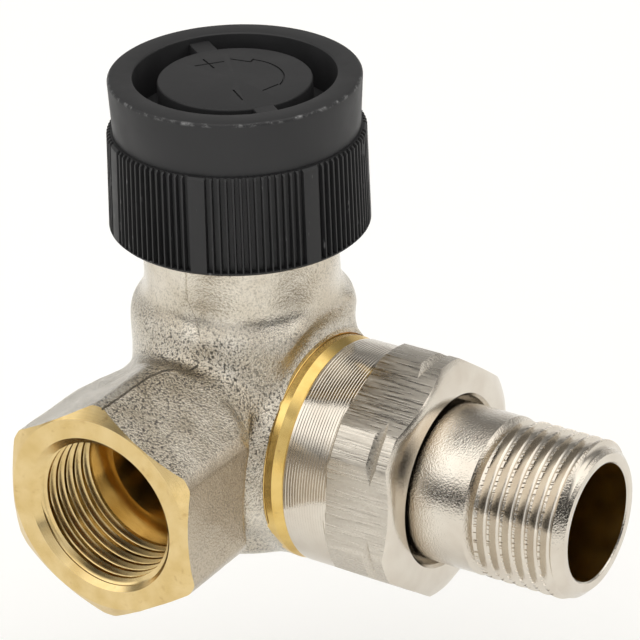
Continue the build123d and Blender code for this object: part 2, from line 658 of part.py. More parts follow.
# Screw that clamps seal and cup to the stem
with BuildPart() as disc_screw:
    with BuildSketch(SPINDLE_PLANE):
        Polygon(
            (0, SCREW_Z),
            (SCREW_HEAD_R - SCREW_CHAMFER, SCREW_Z),
            (SCREW_HEAD_R, SCREW_Z + SCREW_CHAMFER),
            (SCREW_HEAD_R, SCREW_Z + SCREW_HEAD),
            (SCREW_R, SCREW_Z + SCREW_HEAD),
            (SCREW_R, SEAL_Z + SCREW_LENGTH),
            (0, SEAL_Z + SCREW_LENGTH),
            align=None,
        )
    revolve(axis=SPINDLE_AXIS)
    with BuildSketch(Plane.XY.offset(SCREW_Z)):
        with Locations((0, SPINDLE_Y)):
            Rectangle(3 * SCREW_HEAD_R, SCREW_SLOT)
    extrude(amount=SCREW_SLOT_DEPTH, mode=Mode.SUBTRACT)
disc_screw.part.label = "disc_screw"
export_step(disc_screw.part, "parts/disc_screw.step")

# Cap: knurled skirt, smooth ring, slotted top with a bridged centre disc
with BuildPart() as protection_cap:
    with BuildSketch(SPINDLE_PLANE):
        Polygon(
            (CAP_BORE_R + SKIRT_EDGE, SKIRT_BOTTOM),
            (SKIRT_BOTTOM_R - SKIRT_EDGE, SKIRT_BOTTOM),
            (SKIRT_BOTTOM_R, SKIRT_BOTTOM + SKIRT_EDGE),
            (SKIRT_TOP_R, SKIRT_TOP - SKIRT_EDGE),
            (SKIRT_TOP_R - SKIRT_EDGE, SKIRT_TOP),
            (CAP_FOOT_R, SKIRT_TOP),
            (CAP_R, CAP_TOP - RIM_EDGE),
            (CAP_R - RIM_EDGE, CAP_TOP),
            (SLOT_OUTER_R + SLOT_EDGE, CAP_TOP),
            (SLOT_OUTER_R, CAP_TOP - SLOT_EDGE),
            (SLOT_OUTER_R, SLOT_FLOOR),
            (DISC_R, SLOT_FLOOR),
            (DISC_R, DISC_TOP - SLOT_EDGE),
            (DISC_R - SLOT_EDGE, DISC_TOP),
            (0, DISC_TOP),
            (0, PIN_TOP + SEATED_GAP),
            (PIN_POCKET_R, PIN_TOP + SEATED_GAP),
            (PIN_POCKET_R, CAP_WEB_Z),
            (CAP_BORE_R, CAP_WEB_Z),
            (CAP_BORE_R, SKIRT_BOTTOM + SKIRT_EDGE),
            align=None,
        )
    revolve(axis=SPINDLE_AXIS)
    with BuildSketch(Plane.XY.offset(SLOT_FLOOR - 0.5)):
        with Locations((0, SPINDLE_Y)):
            with PolarLocations(SLOT_OUTER_R / 2 + DISC_R / 2, 2, start_angle=BRIDGE_DEG):
                Rectangle(SLOT_OUTER_R - DISC_R + 1, BRIDGE_WIDTH)
    extrude(amount=BRIDGE_TOP - SLOT_FLOOR + 0.5)
    with BuildSketch(Plane.XY.offset(SKIRT_BOTTOM)):
        for group in range(RIB_GROUPS):
            first = FIRST_RIB_DEG + (group + 0.5) * 360 / RIB_GROUPS
            first = first - (GROOVES_IN_GROUP - 1) / 2 * GROOVE_DEG
            for groove in range(GROOVES_IN_GROUP):
                turn = first + groove * GROOVE_DEG
                at = (
                    GROOVE_ROOT_R * cos(radians(turn)),
                    SPINDLE_Y + GROOVE_ROOT_R * sin(radians(turn)),
                )
                with Locations(Location(at, turn)):
                    Polygon(
                        (0, -GROOVE_HALF_WIDTH / 3),
                        (1.2, -GROOVE_HALF_WIDTH * 2),
                        (1.2, GROOVE_HALF_WIDTH * 2),
                        (0, GROOVE_HALF_WIDTH / 3),
                        align=None,
                    )
    extrude(amount=SKIRT_HEIGHT, mode=Mode.SUBTRACT)
protection_cap.part.label = "protection_cap"
export_step(protection_cap.part, "parts/protection_cap.step")

# Union nut: round collar, hexagon with trimmed and notched corners
with BuildPart() as union_nut:
    with BuildSketch(Plane.YZ.offset(NUT_HEX_START)):
        with Locations((SPINDLE_Y, OUTLET_Z)):
            RegularPolygon(NUT_FLAT_R, 6, major_radius=False, rotation=NUT_CORNER_DEG)
    extrude(amount=NUT_HEX_LENGTH)
    with BuildSketch(OUTLET_PLANE):
        Polygon(
            (NUT_HEX_START, NUT_CORNER_R - NUT_EDGE),
            (NUT_HEX_START + NUT_EDGE, NUT_CORNER_R),
            (NUT_NOTCH_X - NUT_NOTCH_HALF, NUT_CORNER_R),
            (NUT_NOTCH_X, NUT_NOTCH_R),
            (NUT_NOTCH_X + NUT_NOTCH_HALF, NUT_CORNER_R),
            (NUT_CHAMFER_X, NUT_CORNER_R),
            (NUT_END, NUT_FACE_R),
            (NUT_END, 1.3 * NUT_FLAT_R),
            (NUT_HEX_START, 1.3 * NUT_FLAT_R),
            align=None,
        )
    revolve(axis=OUTLET_AXIS, mode=Mode.SUBTRACT)
    with BuildSketch(OUTLET_PLANE):
        Polygon(
            (NUT_START, 0),
            (NUT_START, NUT_COLLAR_R - NUT_EDGE),
            (NUT_START + NUT_EDGE, NUT_COLLAR_R),
            (NUT_HEX_START, NUT_COLLAR_R),
            (NUT_HEX_START, 0),
            align=None,
        )
    revolve(axis=OUTLET_AXIS)
    with BuildSketch(OUTLET_PLANE):
        Polygon(
            (NUT_START, 0),
            (NUT_START, NUT_THREAD_R + NUT_MOUTH),
            (NUT_START + NUT_MOUTH, NUT_THREAD_R),
            (NUT_SHOULDER_X, NUT_THREAD_R),
            (NUT_SHOULDER_X, NUT_BORE_R),
            (NUT_END - NUT_EDGE, NUT_BORE_R),
            (NUT_END, NUT_BORE_R + NUT_EDGE),
            (NUT_END, 0),
            align=None,
        )
    revolve(axis=OUTLET_AXIS, mode=Mode.SUBTRACT)
union_nut.part.label = "union_nut"
export_step(union_nut.part, "parts/union_nut.step")

# Tailpiece: sealing nose, collar, tube with the outlet thread, key lugs in the bore
with BuildPart() as tailpiece:
    with BuildSketch(OUTLET_PLANE):
        Polygon(
            (TAIL_NOSE_X, TAIL_BORE_R),
            (TAIL_NOSE_X, NOSE_R),
            (TAIL_NOSE_X + TAIL_NOSE_LENGTH, NOSE_R + TAIL_NOSE_LENGTH),
            (TAIL_COLLAR_START, NOSE_R + TAIL_NOSE_LENGTH),
            (TAIL_COLLAR_START, TAIL_COLLAR_R),
            (TAIL_COLLAR_END, TAIL_COLLAR_R),
            (TAIL_COLLAR_END, PIPE_R),
            (TAIL_GROOVE_X - TAIL_GROOVE_RAMP, PIPE_R),
            (TAIL_GROOVE_X, TAIL_GROOVE_R),
            (TAIL_THREAD_X, TAIL_GROOVE_R),
            (TAIL_THREAD_X, PIPE_R),
            (TAIL_END - TAIL_CHAMFER, PIPE_R),
            (TAIL_END, PIPE_R - TAIL_CHAMFER),
            (TAIL_END, TAIL_BORE_R + TAIL_BORE_EDGE),
            (TAIL_END - TAIL_BORE_EDGE, TAIL_BORE_R),
            align=None,
        )
    revolve(axis=OUTLET_AXIS)
    with BuildSketch(OUTLET_PLANE):
        with Locations((TAIL_RING_X, TAIL_RING_R)):
            Circle(TAIL_RING_WIRE + SEATED_GAP)
    revolve(axis=OUTLET_AXIS, mode=Mode.SUBTRACT)
    with BuildSketch(Plane.YZ.offset(TAIL_NOSE_X + LUG_SETBACK)):
        with Locations((SPINDLE_Y, OUTLET_Z)):
            with PolarLocations(TAIL_BORE_R - LUG_HEIGHT / 4, 2):
                Rectangle(LUG_HEIGHT * 1.5, LUG_WIDTH)
    extrude(amount=LUG_LENGTH)
tailpiece.part.label = "tailpiece"
export_step(tailpiece.part, "parts/tailpiece.step")

# Seal on the tailpiece nose
with BuildPart() as tailpiece_o_ring:
    with BuildSketch(OUTLET_PLANE):
        with Locations((TAIL_RING_X, TAIL_RING_R)):
            Circle(TAIL_RING_WIRE)
    revolve(axis=OUTLET_AXIS)
tailpiece_o_ring.part.label = "tailpiece_o_ring"
export_step(tailpiece_o_ring.part, "parts/tailpiece_o_ring.step")
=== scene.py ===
"""Angled radiator valve, dressed for a studio picture at the photograph's viewing angle.

Pieces are modelled in millimetres in the CAD frame and then brought to metres. -Y leaves
the inlet, +X leaves the outlet and +Z runs up the spindle.
"""
import logging
import math
import random
from collections.abc import Callable, Iterable, Iterator
from contextlib import contextmanager
from dataclasses import dataclass, field
from enum import Enum
from typing import Any

import bpy
from mathutils import Matrix, Vector


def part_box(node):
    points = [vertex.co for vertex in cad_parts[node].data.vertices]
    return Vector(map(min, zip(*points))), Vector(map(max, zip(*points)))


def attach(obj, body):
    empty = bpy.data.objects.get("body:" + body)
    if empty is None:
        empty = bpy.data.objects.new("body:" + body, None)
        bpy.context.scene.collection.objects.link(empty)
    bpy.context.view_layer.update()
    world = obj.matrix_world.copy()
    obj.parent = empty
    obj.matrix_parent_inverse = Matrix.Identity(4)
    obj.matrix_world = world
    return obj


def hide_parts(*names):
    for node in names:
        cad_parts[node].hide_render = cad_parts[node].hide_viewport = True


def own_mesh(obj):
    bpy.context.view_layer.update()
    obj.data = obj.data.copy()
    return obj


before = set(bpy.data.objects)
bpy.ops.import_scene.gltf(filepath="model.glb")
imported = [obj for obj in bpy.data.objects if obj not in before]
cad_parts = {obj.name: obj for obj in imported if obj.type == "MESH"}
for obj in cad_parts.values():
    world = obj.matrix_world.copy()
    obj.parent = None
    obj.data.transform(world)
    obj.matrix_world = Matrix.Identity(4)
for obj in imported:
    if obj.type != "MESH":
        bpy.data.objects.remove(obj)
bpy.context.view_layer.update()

LOG = logging.getLogger("radiator_valve")
MM = 0.001
WELD = 0.0005
FAR = 40.0

SPINDLE_Y = 33.2
OUTLET_Z = -2.7
PIPE_R = 10.48
PIPE_PITCH = 1.814
TAN_30 = math.tan(math.radians(30))
COS_30 = math.cos(math.radians(30))

Piece = bpy.types.Object
Material = bpy.types.Material
Socket = bpy.types.NodeSocket
Span = tuple[float, float]
Triple = tuple[float, float, float]
Colour = tuple[float, float, float, float]
Outline = list[Span]
Inputs = dict[str | int, Any]
Look = tuple[Socket, Socket, Socket]

# Half of a thread's groove: distance from its middle, height over the thread's radius.
OUTER_TOOTH: Outline = [
    (0.86, 0.4), (0.75, 0.0), (0.66, -0.28), (0.52, -0.6),
    (0.34, -0.86), (0.16, -1.0), (0.0, -1.04),
]
INNER_TOOTH: Outline = [
    (0.86, -1.3), (0.72, -0.98), (0.58, -0.70), (0.44, -0.42),
    (0.30, -0.16), (0.15, -0.03), (0.0, 0.0),
]

# Parts of a cloudy pattern's range that colours and roughness spread over.
CLOUDY: Span = (0.35, 0.7)
MIDDLE: Span = (0.3, 0.7)


class TurnAxis(Enum):
    """The valve's axes: a point of each, and the rows that bring +Z onto it."""

    INLET = ((0.0, 0.0, 0.0), ((1, 0, 0), (0, 0, 1), (0, -1, 0)))
    OUTLET = ((0.0, SPINDLE_Y, OUTLET_Z), ((0, 0, 1), (1, 0, 0), (0, 1, 0)))
    SPINDLE = ((0.0, SPINDLE_Y, 0.0), ((1, 0, 0), (0, 1, 0), (0, 0, 1)))

    def matrix(self) -> Matrix:
        """Give the matrix that brings a piece turned about +Z onto this axis."""
        spot, rows = self.value
        return Matrix.Translation(spot) @ Matrix(rows).to_4x4()

    def distance(self, point: Vector) -> float:
        """Measure how far a point lies from this axis.

        Args:
            point: A place in millimetres.

        Returns:
            The radius at that place.
        """
        if self is TurnAxis.SPINDLE:
            return math.hypot(point.x, point.y - SPINDLE_Y)
        if self is TurnAxis.OUTLET:
            return math.hypot(point.y - SPINDLE_Y, point.z - OUTLET_Z)
        return math.hypot(point.x, point.z)


class Cut(Enum):
    """What a tool does to the piece that it meets."""

    TAKE_AWAY = "DIFFERENCE"
    ADD = "UNION"
    KEEP_COMMON = "INTERSECT"


def deselect_all() -> None:
    """Leave edit mode and deselect every object."""
    if bpy.context.mode != "OBJECT":
        bpy.ops.object.mode_set(mode="OBJECT")
    bpy.ops.object.select_all(action="DESELECT")


def take(piece: Piece) -> None:
    """Make one object the only selected one, and the active one.

    Args:
        piece: The object.
    """
    deselect_all()
    piece.select_set(True)
    bpy.context.view_layer.objects.active = piece


def settle(piece: Piece) -> None:
    """Apply an object's place, turn and scale to its mesh.

    Args:
        piece: The object.
    """
    take(piece)
    bpy.ops.object.transform_apply(location=True, rotation=True, scale=True)


def fresh(name: str, finish: Material) -> Piece:
    """Name and dress the mesh that was just added.

    Args:
        name: Its name.
        finish: Its material.

    Returns:
        The mesh.
    """
    piece = bpy.context.object
    piece.name = name
    piece.data.materials.append(finish)
    return piece


@contextmanager
def editing(piece: Piece) -> Iterator[None]:
    """Hold one piece in edit mode.

    Args:
        piece: The mesh to edit.
    """
    take(piece)
    bpy.ops.object.mode_set(mode="EDIT")
    try:
        yield
    finally:
        bpy.ops.object.mode_set(mode="OBJECT")


def modify(piece: Piece, kind: str, **settings: Any) -> None:
    """Put a modifier on a piece and apply it.

    Args:
        piece: The mesh.
        kind: Blender's name of the modifier.
        settings: Properties of the modifier.
    """
    modifier = piece.modifiers.new(kind.lower(), kind)
    for key, value in settings.items():
        setattr(modifier, key, value)
    take(piece)
    bpy.ops.object.modifier_apply(modifier=modifier.name)


def seal(piece: Piece) -> None:
    """Weld a mesh and turn its faces outwards.

    Args:
        piece: The mesh.
    """
    with editing(piece):
        bpy.ops.mesh.select_all(action="SELECT")
        bpy.ops.mesh.remove_doubles(threshold=WELD)
        bpy.ops.mesh.normals_make_consistent(inside=False)


def bevel(
    piece: Piece, chosen: Callable[[Vector, Vector], bool], offset: float, segments: int
) -> None:
    """Bevel the edges that a rule picks.

    Args:
        piece: The mesh.
        chosen: Rule on the two ends of an edge.
        offset: Width of the bevel.
        segments: Steps across it.
    """
    bpy.context.tool_settings.mesh_select_mode = (False, True, False)
    mesh = piece.data
    for item in [*mesh.vertices, *mesh.polygons]:
        item.select = False
    for edge in mesh.edges:
        start, end = (mesh.vertices[index].co for index in edge.vertices)
        edge.select = chosen(start, end)
    with editing(piece):
        bpy.ops.mesh.bevel(offset=offset, segments=segments)


def place(piece: Piece, axis: TurnAxis, turn: float = 0.0) -> None:
    """Bring a piece made about +Z onto an axis.

    Args:
        piece: The piece, modelled about the origin.
        axis: The axis that it goes to.
        turn: Turn about that axis, in degrees.
    """
    piece.matrix_world = axis.matrix() @ Matrix.Rotation(math.radians(turn), 4, "Z")
    settle(piece)


def arc(along: float, radius: float, bend: float, start: float, end: float, parts: int) -> Outline:
    """Work out the points of an arc in a turned outline.

    Args:
        along: Centre along the axis.
        radius: Centre's distance from the axis.
        bend: Radius of the arc.
        start: First angle in degrees, from the axis outwards.
        end: Last angle in degrees.
        parts: Stretches along the arc.

    Returns:
        Points from start to end, both included.
    """
    angles = [math.radians(start + (end - start) * step / parts) for step in range(parts + 1)]
    return [(along + bend * math.cos(a), radius + bend * math.sin(a)) for a in angles]


def tooth(half: Outline, along: float, radius: float) -> Outline:
    """Give the section of a thread's groove.

    Args:
        half: Half of the groove, from its mouth to its floor.
        along: Place of its middle along the axis.
        radius: Radius of an outer thread's crests or an inner thread's roots.

    Returns:
        A closed outline.
    """
    left = [(along - wide, radius + high) for wide, high in half]
    right = [(along + wide, radius + high) for wide, high in half[-2::-1]]
    return left + right


def chained(name: str, points: list[Vector], closed: bool, finish: Material) -> Piece:
    """Extrude a chain of edges, point after point.

    Args:
        name: Name of the new object.
        points: Places of its corners.
        closed: Whether the last point joins the first.
        finish: Material of the new object.

    Returns:
        The object that holds the chain.
    """
    ahead = points[1:] + points[:1] if closed else points[1:]
    deselect_all()
    bpy.ops.mesh.primitive_plane_add(size=1.0)
    piece = fresh(name, finish)
    bpy.context.tool_settings.mesh_select_mode = (True, False, False)
    with editing(piece):
        bpy.ops.mesh.merge(type="CENTER")
        bpy.ops.transform.translate(value=points[0])
        for here, there in zip(points, ahead):
            bpy.ops.mesh.extrude_region_move(TRANSFORM_OT_translate={"value": there - here})
        bpy.ops.mesh.select_all(action="SELECT")
        bpy.ops.mesh.remove_doubles(threshold=WELD)
    return piece


def drawn(name: str, outline: Outline, closed: bool, finish: Material) -> Piece:
    """Draw an outline as a chain of edges in the XZ plane.

    Args:
        name: Name of the new object.
        outline: Points (along the axis, radius).
        closed: Whether the last point joins the first.
        finish: Material of the new object.

    Returns:
        The object that holds the chain.
    """
    points = [Vector((radius, 0.0, along)) for along, radius in outline]
    return chained(name, points, closed, finish)


def bead(name: str, points: list[Vector], radius: float, finish: Material) -> Piece:
    """Lay a round bead along points.

    Args:
        name: Name of the new object.
        points: Middle line of the bead.
        radius: Radius of the bead.
        finish: Material of the bead.

    Returns:
        The bead as a closed mesh.
    """
    piece = chained(name, points, False, finish)
    take(piece)
    bpy.ops.object.convert(target="CURVE")
    piece.data.bevel_depth = radius
    piece.data.bevel_resolution = 1
    piece.data.use_fill_caps = True
    bpy.ops.object.convert(target="MESH")
    piece.data.materials.clear()
    piece.data.materials.append(finish)
    seal(piece)
    return piece


def turned(
    name: str,
    axis: TurnAxis,
    outline: Outline,
    finish: Material,
    steps: int = 160,
    ring: bool = False,
) -> Piece:
    """Spin an outline into a solid, as on a lathe.

    Args:
        name: Name of the new object.
        axis: Axis of the lathe.
        outline: Points (along the axis, radius).
        finish: Material of the solid.
        steps: Facets round the axis.
        ring: Whether the outline closes on itself and not on the axis.

    Returns:
        The solid, in place.
    """
    if not ring:
        outline = [(outline[0][0], 0.0), *outline, (outline[-1][0], 0.0)]
    piece = drawn(name, outline, ring, finish)
    with editing(piece):
        bpy.ops.mesh.select_all(action="SELECT")
        bpy.ops.mesh.spin(steps=steps, angle=math.tau, center=(0, 0, 0), axis=(0, 0, 1))
    seal(piece)
    place(piece, axis)
    return piece


def wound(
    name: str,
    axis: TurnAxis,
    outline: Outline,
    pitch: float,
    turns: float,
    finish: Material,
    first: float = 0.0,
    steps: int = 96,
) -> Piece:
    """Sweep a closed outline along a right-hand helix, or an arc where the pitch is nought.

    Args:
        name: Name of the new object.
        axis: Axis of the helix.
        outline: Points (along the axis, radius) of the swept section.
        pitch: Rise of one turn.
        turns: Number of turns.
        finish: Material of the solid.
        first: Angle of the start, in degrees.
        steps: Facets in one turn.

    Returns:
        The closed sweep, in place.
    """
    piece = drawn(name, outline, True, finish)
    facets = max(4, round(steps * turns))
    angle, rise = math.tau * turns, pitch * turns
    modify(
        piece, "SCREW", axis="Z", angle=angle, screw_offset=rise, steps=facets, render_steps=facets
    )
    with editing(piece):
        bpy.ops.mesh.select_all(action="SELECT")
        bpy.ops.mesh.fill_holes(sides=0)
        bpy.ops.mesh.select_all(action="SELECT")
        bpy.ops.mesh.normals_make_consistent(inside=False)
    place(piece, axis, first)
    return piece


def hexagon_bar(
    name: str, axis: TurnAxis, flat_radius: float, span: Span, turn: float, finish: Material
) -> Piece:
    """Make a length of hexagon bar.

    Args:
        name: Name of the new object.
        axis: Axis of the bar.
        flat_radius: Distance of its flats from the axis.
        span: Start and end along the axis.
        turn: Turn about the axis, in degrees.
        finish: Material of the bar.

    Returns:
        The bar, in place.
    """
    start, end = span
    deselect_all()
    bpy.ops.mesh.primitive_cylinder_add(
        vertices=6,
        radius=flat_radius / COS_30,
        depth=end - start,
        location=(0.0, 0.0, (start + end) / 2),
    )
    piece = fresh(name, finish)
    settle(piece)
    place(piece, axis, turn)
    return piece


def block(name: str, low: Triple, high: Triple, finish: Material) -> Piece:
    """Make a block between two corners, about the origin.

    Args:
        name: Name of the new object.
        low: Lowest corner.
        high: Highest corner.
        finish: Material of the block.

    Returns:
        The block.
    """
    deselect_all()
    middle = [(a + b) / 2 for a, b in zip(low, high)]
    bpy.ops.mesh.primitive_cube_add(size=1.0, location=middle)
    piece = fresh(name, finish)
    piece.scale = [b - a for a, b in zip(low, high)]
    settle(piece)
    return piece


def flared(name: str, low: Triple, high: Triple, spread: float, finish: Material) -> Piece:
    """Make a block whose face towards +X is wider, as a tool for grooves.

    Args:
        name: Name of the new object.
        low: Lowest corner of the plain block.
        high: Highest corner of the plain block.
        spread: Width of the outer face, as a share of the plain block's.
        finish: Material of the block.

    Returns:
        The tool.
    """
    tool = block(name, low, high, finish)
    bpy.context.tool_settings.mesh_select_mode = (False, False, True)
    mesh = tool.data
    for item in [*mesh.vertices, *mesh.edges]:
        item.select = False
    for face in mesh.polygons:
        face.select = face.normal.x > 0.9
    with editing(tool):
        bpy.ops.transform.resize(value=(1.0, spread, 1.0), center_override=(high[0], 0.0, 0.0))
    return tool


def joined(pieces: list[Piece]) -> Piece:
    """Join several meshes into the first of them.

    Args:
        pieces: The meshes.

    Returns:
        The first mesh, which holds them all.
    """
    take(pieces[0])
    for piece in pieces[1:]:
        piece.select_set(True)
    bpy.ops.object.join()
    return pieces[0]


def copied_round(tool: Piece, axis: TurnAxis, turns: Iterable[float]) -> Piece:
    """Copy a shape round an axis and join the copies.

    Args:
        tool: The shape, modelled about +Z with its middle towards +X.
        axis: Axis that the copies stand round.
        turns: Angle of each copy, in degrees.

    Returns:
        One mesh with all the copies.
    """
    copies = []
    for turn in turns:
        take(tool)
        bpy.ops.object.duplicate(linked=False)
        copies.append(bpy.context.object)
        place(copies[-1], axis, turn)
    bpy.data.objects.remove(tool)
    return joined(copies)


def combine(piece: Piece, tool: Piece, how: Cut) -> None:
    """Work a tool on a piece and throw the tool away. Cut faces take the tool's finish.

    Args:
        piece: The piece that is worked on.
        tool: A closed mesh.
        how: What the tool does.
    """
    modify(
        piece,
        "BOOLEAN",
        operation=how.value,
        solver="MANIFOLD",
        material_mode="TRANSFER",
        object=tool,
    )
    bpy.data.objects.remove(tool)


def seat(piece: Piece, body: str, node: str, smooth: float = 30.0) -> None:
    """Bring a finished piece to metres and let it stand for a CAD node.

    Args:
        piece: The piece, modelled in millimetres.
        body: CAD body that it rides on.
        node: CAD node that it replaces.
        smooth: Angle above which an edge stays sharp, in degrees.
    """
    piece.scale = (MM, MM, MM)
    settle(piece)
    bpy.ops.object.shade_smooth_by_angle(angle=math.radians(smooth))
    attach(piece, body)
    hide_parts(node)
    LOG.info("%s stands for %s with %d faces", piece.name, node, len(piece.data.polygons))


class NodeBench:
    """Adds shader nodes to a material or a world and links them."""

    def __init__(self, owner: Material | bpy.types.World) -> None:
        """Start with no nodes.

        Args:
            owner: The material or world.
        """
        owner.use_nodes = True
        self.tree = owner.node_tree
        self.tree.nodes.clear()

    def add(self, kind: str, inputs: Inputs | None = None, **settings: Any) -> bpy.types.Node:
        """Add one node.

        Args:
            kind: Blender's name of the node type.
            inputs: Values or sockets for its inputs.
            settings: Properties of the node.

        Returns:
            The new node.
        """
        node = self.tree.nodes.new(kind)
        for key, value in settings.items():
            setattr(node, key, value)
        for key, value in (inputs or {}).items():
            if isinstance(value, Socket):
                self.tree.links.new(value, node.inputs[key])
            else:
                node.inputs[key].default_value = value
        return node

    def place(self, axis: TurnAxis) -> Socket:
        """Give a point's place in millimetres, centred on an axis.

        Args:
            axis: Axis that the pattern is centred on.

        Returns:
            A vector socket.
        """
        spot = self.add("ShaderNodeTexCoord").outputs["Object"]
        centre = -axis.matrix().to_translation()
        scale = (1 / MM, 1 / MM, 1 / MM)
        inputs = {"Vector": spot, "Location": centre, "Scale": scale}
        return self.add("ShaderNodeMapping", inputs).outputs["Vector"]

    def stretch(self, vector: Socket, scale: Triple) -> Socket:
        """Scale a place by a different number on each axis."""
        node = self.add("ShaderNodeVectorMath", {0: vector, 1: scale}, operation="MULTIPLY")
        return node.outputs["Vector"]

    def measure(self, operation: str, first: Socket, second: Any = (0.0, 0.0, 0.0)) -> Socket:
        """Work out a length, distance or product of places."""
        inputs = {0: first, 1: second}
        return self.add("ShaderNodeVectorMath", inputs, operation=operation).outputs["Value"]

    def radius(self, spot: Socket, axis: TurnAxis) -> Socket:
        """Measure a place's distance from the axis that it is centred on."""
        x, y, z = (1 - abs(share) for share in axis.matrix().col[2][:3])
        return self.measure("LENGTH", self.stretch(spot, (x, y, z)))

    def noise(
        self, vector: Socket, scale: float, detail: float = 2.0, rough: float = 0.5
    ) -> Socket:
        """Make a cloudy pattern from 0 to 1, with so many clouds to a millimetre."""
        inputs = {"Vector": vector, "Scale": scale, "Detail": detail, "Roughness": rough}
        return self.add("ShaderNodeTexNoise", inputs).outputs["Fac"]

    def level(
        self, value: Socket, low: float, high: float, start: float = 0.0, end: float = 1.0
    ) -> Socket:
        """Map a value from low..high to start..end, kept within that."""
        inputs = {"Value": value, "From Min": low, "From Max": high, "To Min": start, "To Max": end}
        return self.add("ShaderNodeMapRange", inputs).outputs["Result"]

    def maths(self, operation: str, first: Any, second: Any = 0.0) -> Socket:
        """Work out one value from two."""
        return self.add("ShaderNodeMath", {0: first, 1: second}, operation=operation).outputs[0]

    def tint(self, factor: Socket, first: Any, second: Any) -> Socket:
        """Mix two colours by the share of the second."""
        node = self.add("ShaderNodeMix", {0: factor, 6: first, 7: second}, data_type="RGBA")
        return node.outputs[2]

    def bump(
        self, height: Socket, strength: float, depth: float, below: Socket | None = None
    ) -> Socket:
        """Raise the surface by a pattern.

        Args:
            height: The pattern.
            strength: Share of the full relief.
            depth: Full relief in millimetres.
            below: Normal of a coarser relief.

        Returns:
            The new normal.
        """
        inputs: Inputs = {"Height": height, "Strength": strength, "Distance": depth * MM}
        if below is not None:
            inputs["Normal"] = below
        return self.add("ShaderNodeBump", inputs).outputs["Normal"]

    def shade(self, inputs: Inputs) -> None:
        """Add the shader and the output."""
        shader = self.add("ShaderNodeBsdfPrincipled", inputs)
        self.add("ShaderNodeOutputMaterial", {"Surface": shader.outputs["BSDF"]})


@dataclass(frozen=True)
class Finish:
    """A procedural material, with a pattern centred on one of the valve's axes."""

    name: str
    main: Colour
    other: Colour
    axis: TurnAxis = TurnAxis.SPINDLE
    roughness: Span = MIDDLE
    metallic: float = 1.0
    specular: float = 0.5

    def make(self) -> Material:
        """Build the material.

        Returns:
            The material.
        """
        material = bpy.data.materials.new(self.name)
        bench = NodeBench(material)
        colour, rough, relief = self.look(bench, bench.place(self.axis))
        bench.shade(
            {
                "Base Color": colour,
                "Metallic": self.metallic,
                "Roughness": rough,
                "Specular IOR Level": self.specular,
                "Normal": relief,
            }
        )
        return material

    def look(self, bench: NodeBench, spot: Socket) -> Look:
        """Lay out the pattern at a place in millimetres: colour, roughness and normal."""
        raise NotImplementedError


@dataclass(frozen=True)
class BlastedNickel(Finish):
    """Nickel plating on a blasted forging, with coarse sparkling grain and painted shade darkening
    the grain's hollows.
    """

    name: str = "nickel_blasted"
    main: Colour = (0.72, 0.67, 0.58, 1.0)
    other: Colour = (0.58, 0.52, 0.42, 1.0)
    roughness: Span = (0.12, 0.22)
    # Near-black painted shade laid in the grain's hollows.
    pit_shade: Colour = (0.07, 0.06, 0.05, 1.0)
    worn: Colour = (0.53, 0.46, 0.36, 1.0)
    grain: float = 3.2
    grain_depth: float = 0.24
    lumps: float = 0.22
    lump_depth: float = 0.15
    patches: float = 0.11
    patch_pit_shade: Span = (0.40, 0.95)
    pit_shade_level: Span = (0.49, 0.39)
    fine_share: float = 0.4
    saddle: Triple = (5.5, -14.0, 13.5)
    saddle_reach: Span = (8.5, 3.0)
    neck_from: Span = (16.0, 18.5)
    flat_from: Span = (12.2, 13.3)

    def look(self, bench: NodeBench, spot: Socket) -> Look:
        """Lay out lumps and grain, with painted shade in the grain's hollows, finer on the neck and
        on the hexagon's flats.

        Args:
            bench: The material's nodes.
            spot: A point's place in millimetres.

        Returns:
            Colour, roughness and normal.
        """
        lumps = bench.noise(spot, self.lumps, 3.0)
        grain = bench.noise(spot, self.grain, 3.0, 0.65)
        patches = bench.level(bench.noise(spot, self.patches), 0.42, 0.58, *self.patch_pit_shade)
        split = bench.add("ShaderNodeSeparateXYZ", {0: spot})
        neck = bench.level(split.outputs["Z"], *self.neck_from)
        flats = bench.level(bench.maths("ABSOLUTE", split.outputs["X"]), *self.flat_from)
        coarse = bench.level(bench.maths("MAXIMUM", neck, flats), 0.0, 1.0, 1.0, self.fine_share)
        saddle = bench.level(bench.measure("DISTANCE", spot, self.saddle), *self.saddle_reach)
        # Painted shade: the grain's hollows go near black, in patches and all round the saddle
        # where the hexagon meets the bulge.
        patches = bench.maths("MAXIMUM", patches, saddle)
        pit_shade_mask = bench.maths("MULTIPLY", bench.level(grain, *self.pit_shade_level), patches)
        pit_shade_mask = bench.maths("MULTIPLY", pit_shade_mask, coarse)
        colour = bench.tint(bench.level(lumps, *CLOUDY), self.main, self.other)
        colour = bench.tint(flats, colour, self.worn)
        colour = bench.tint(pit_shade_mask, colour, self.pit_shade)
        rough = bench.level(grain, *MIDDLE, *self.roughness)
        relief = bench.bump(lumps, 0.5, self.lump_depth)
        relief = bench.bump(bench.maths("MULTIPLY", grain, coarse), 0.8, self.grain_depth, relief)
        return colour, rough, relief


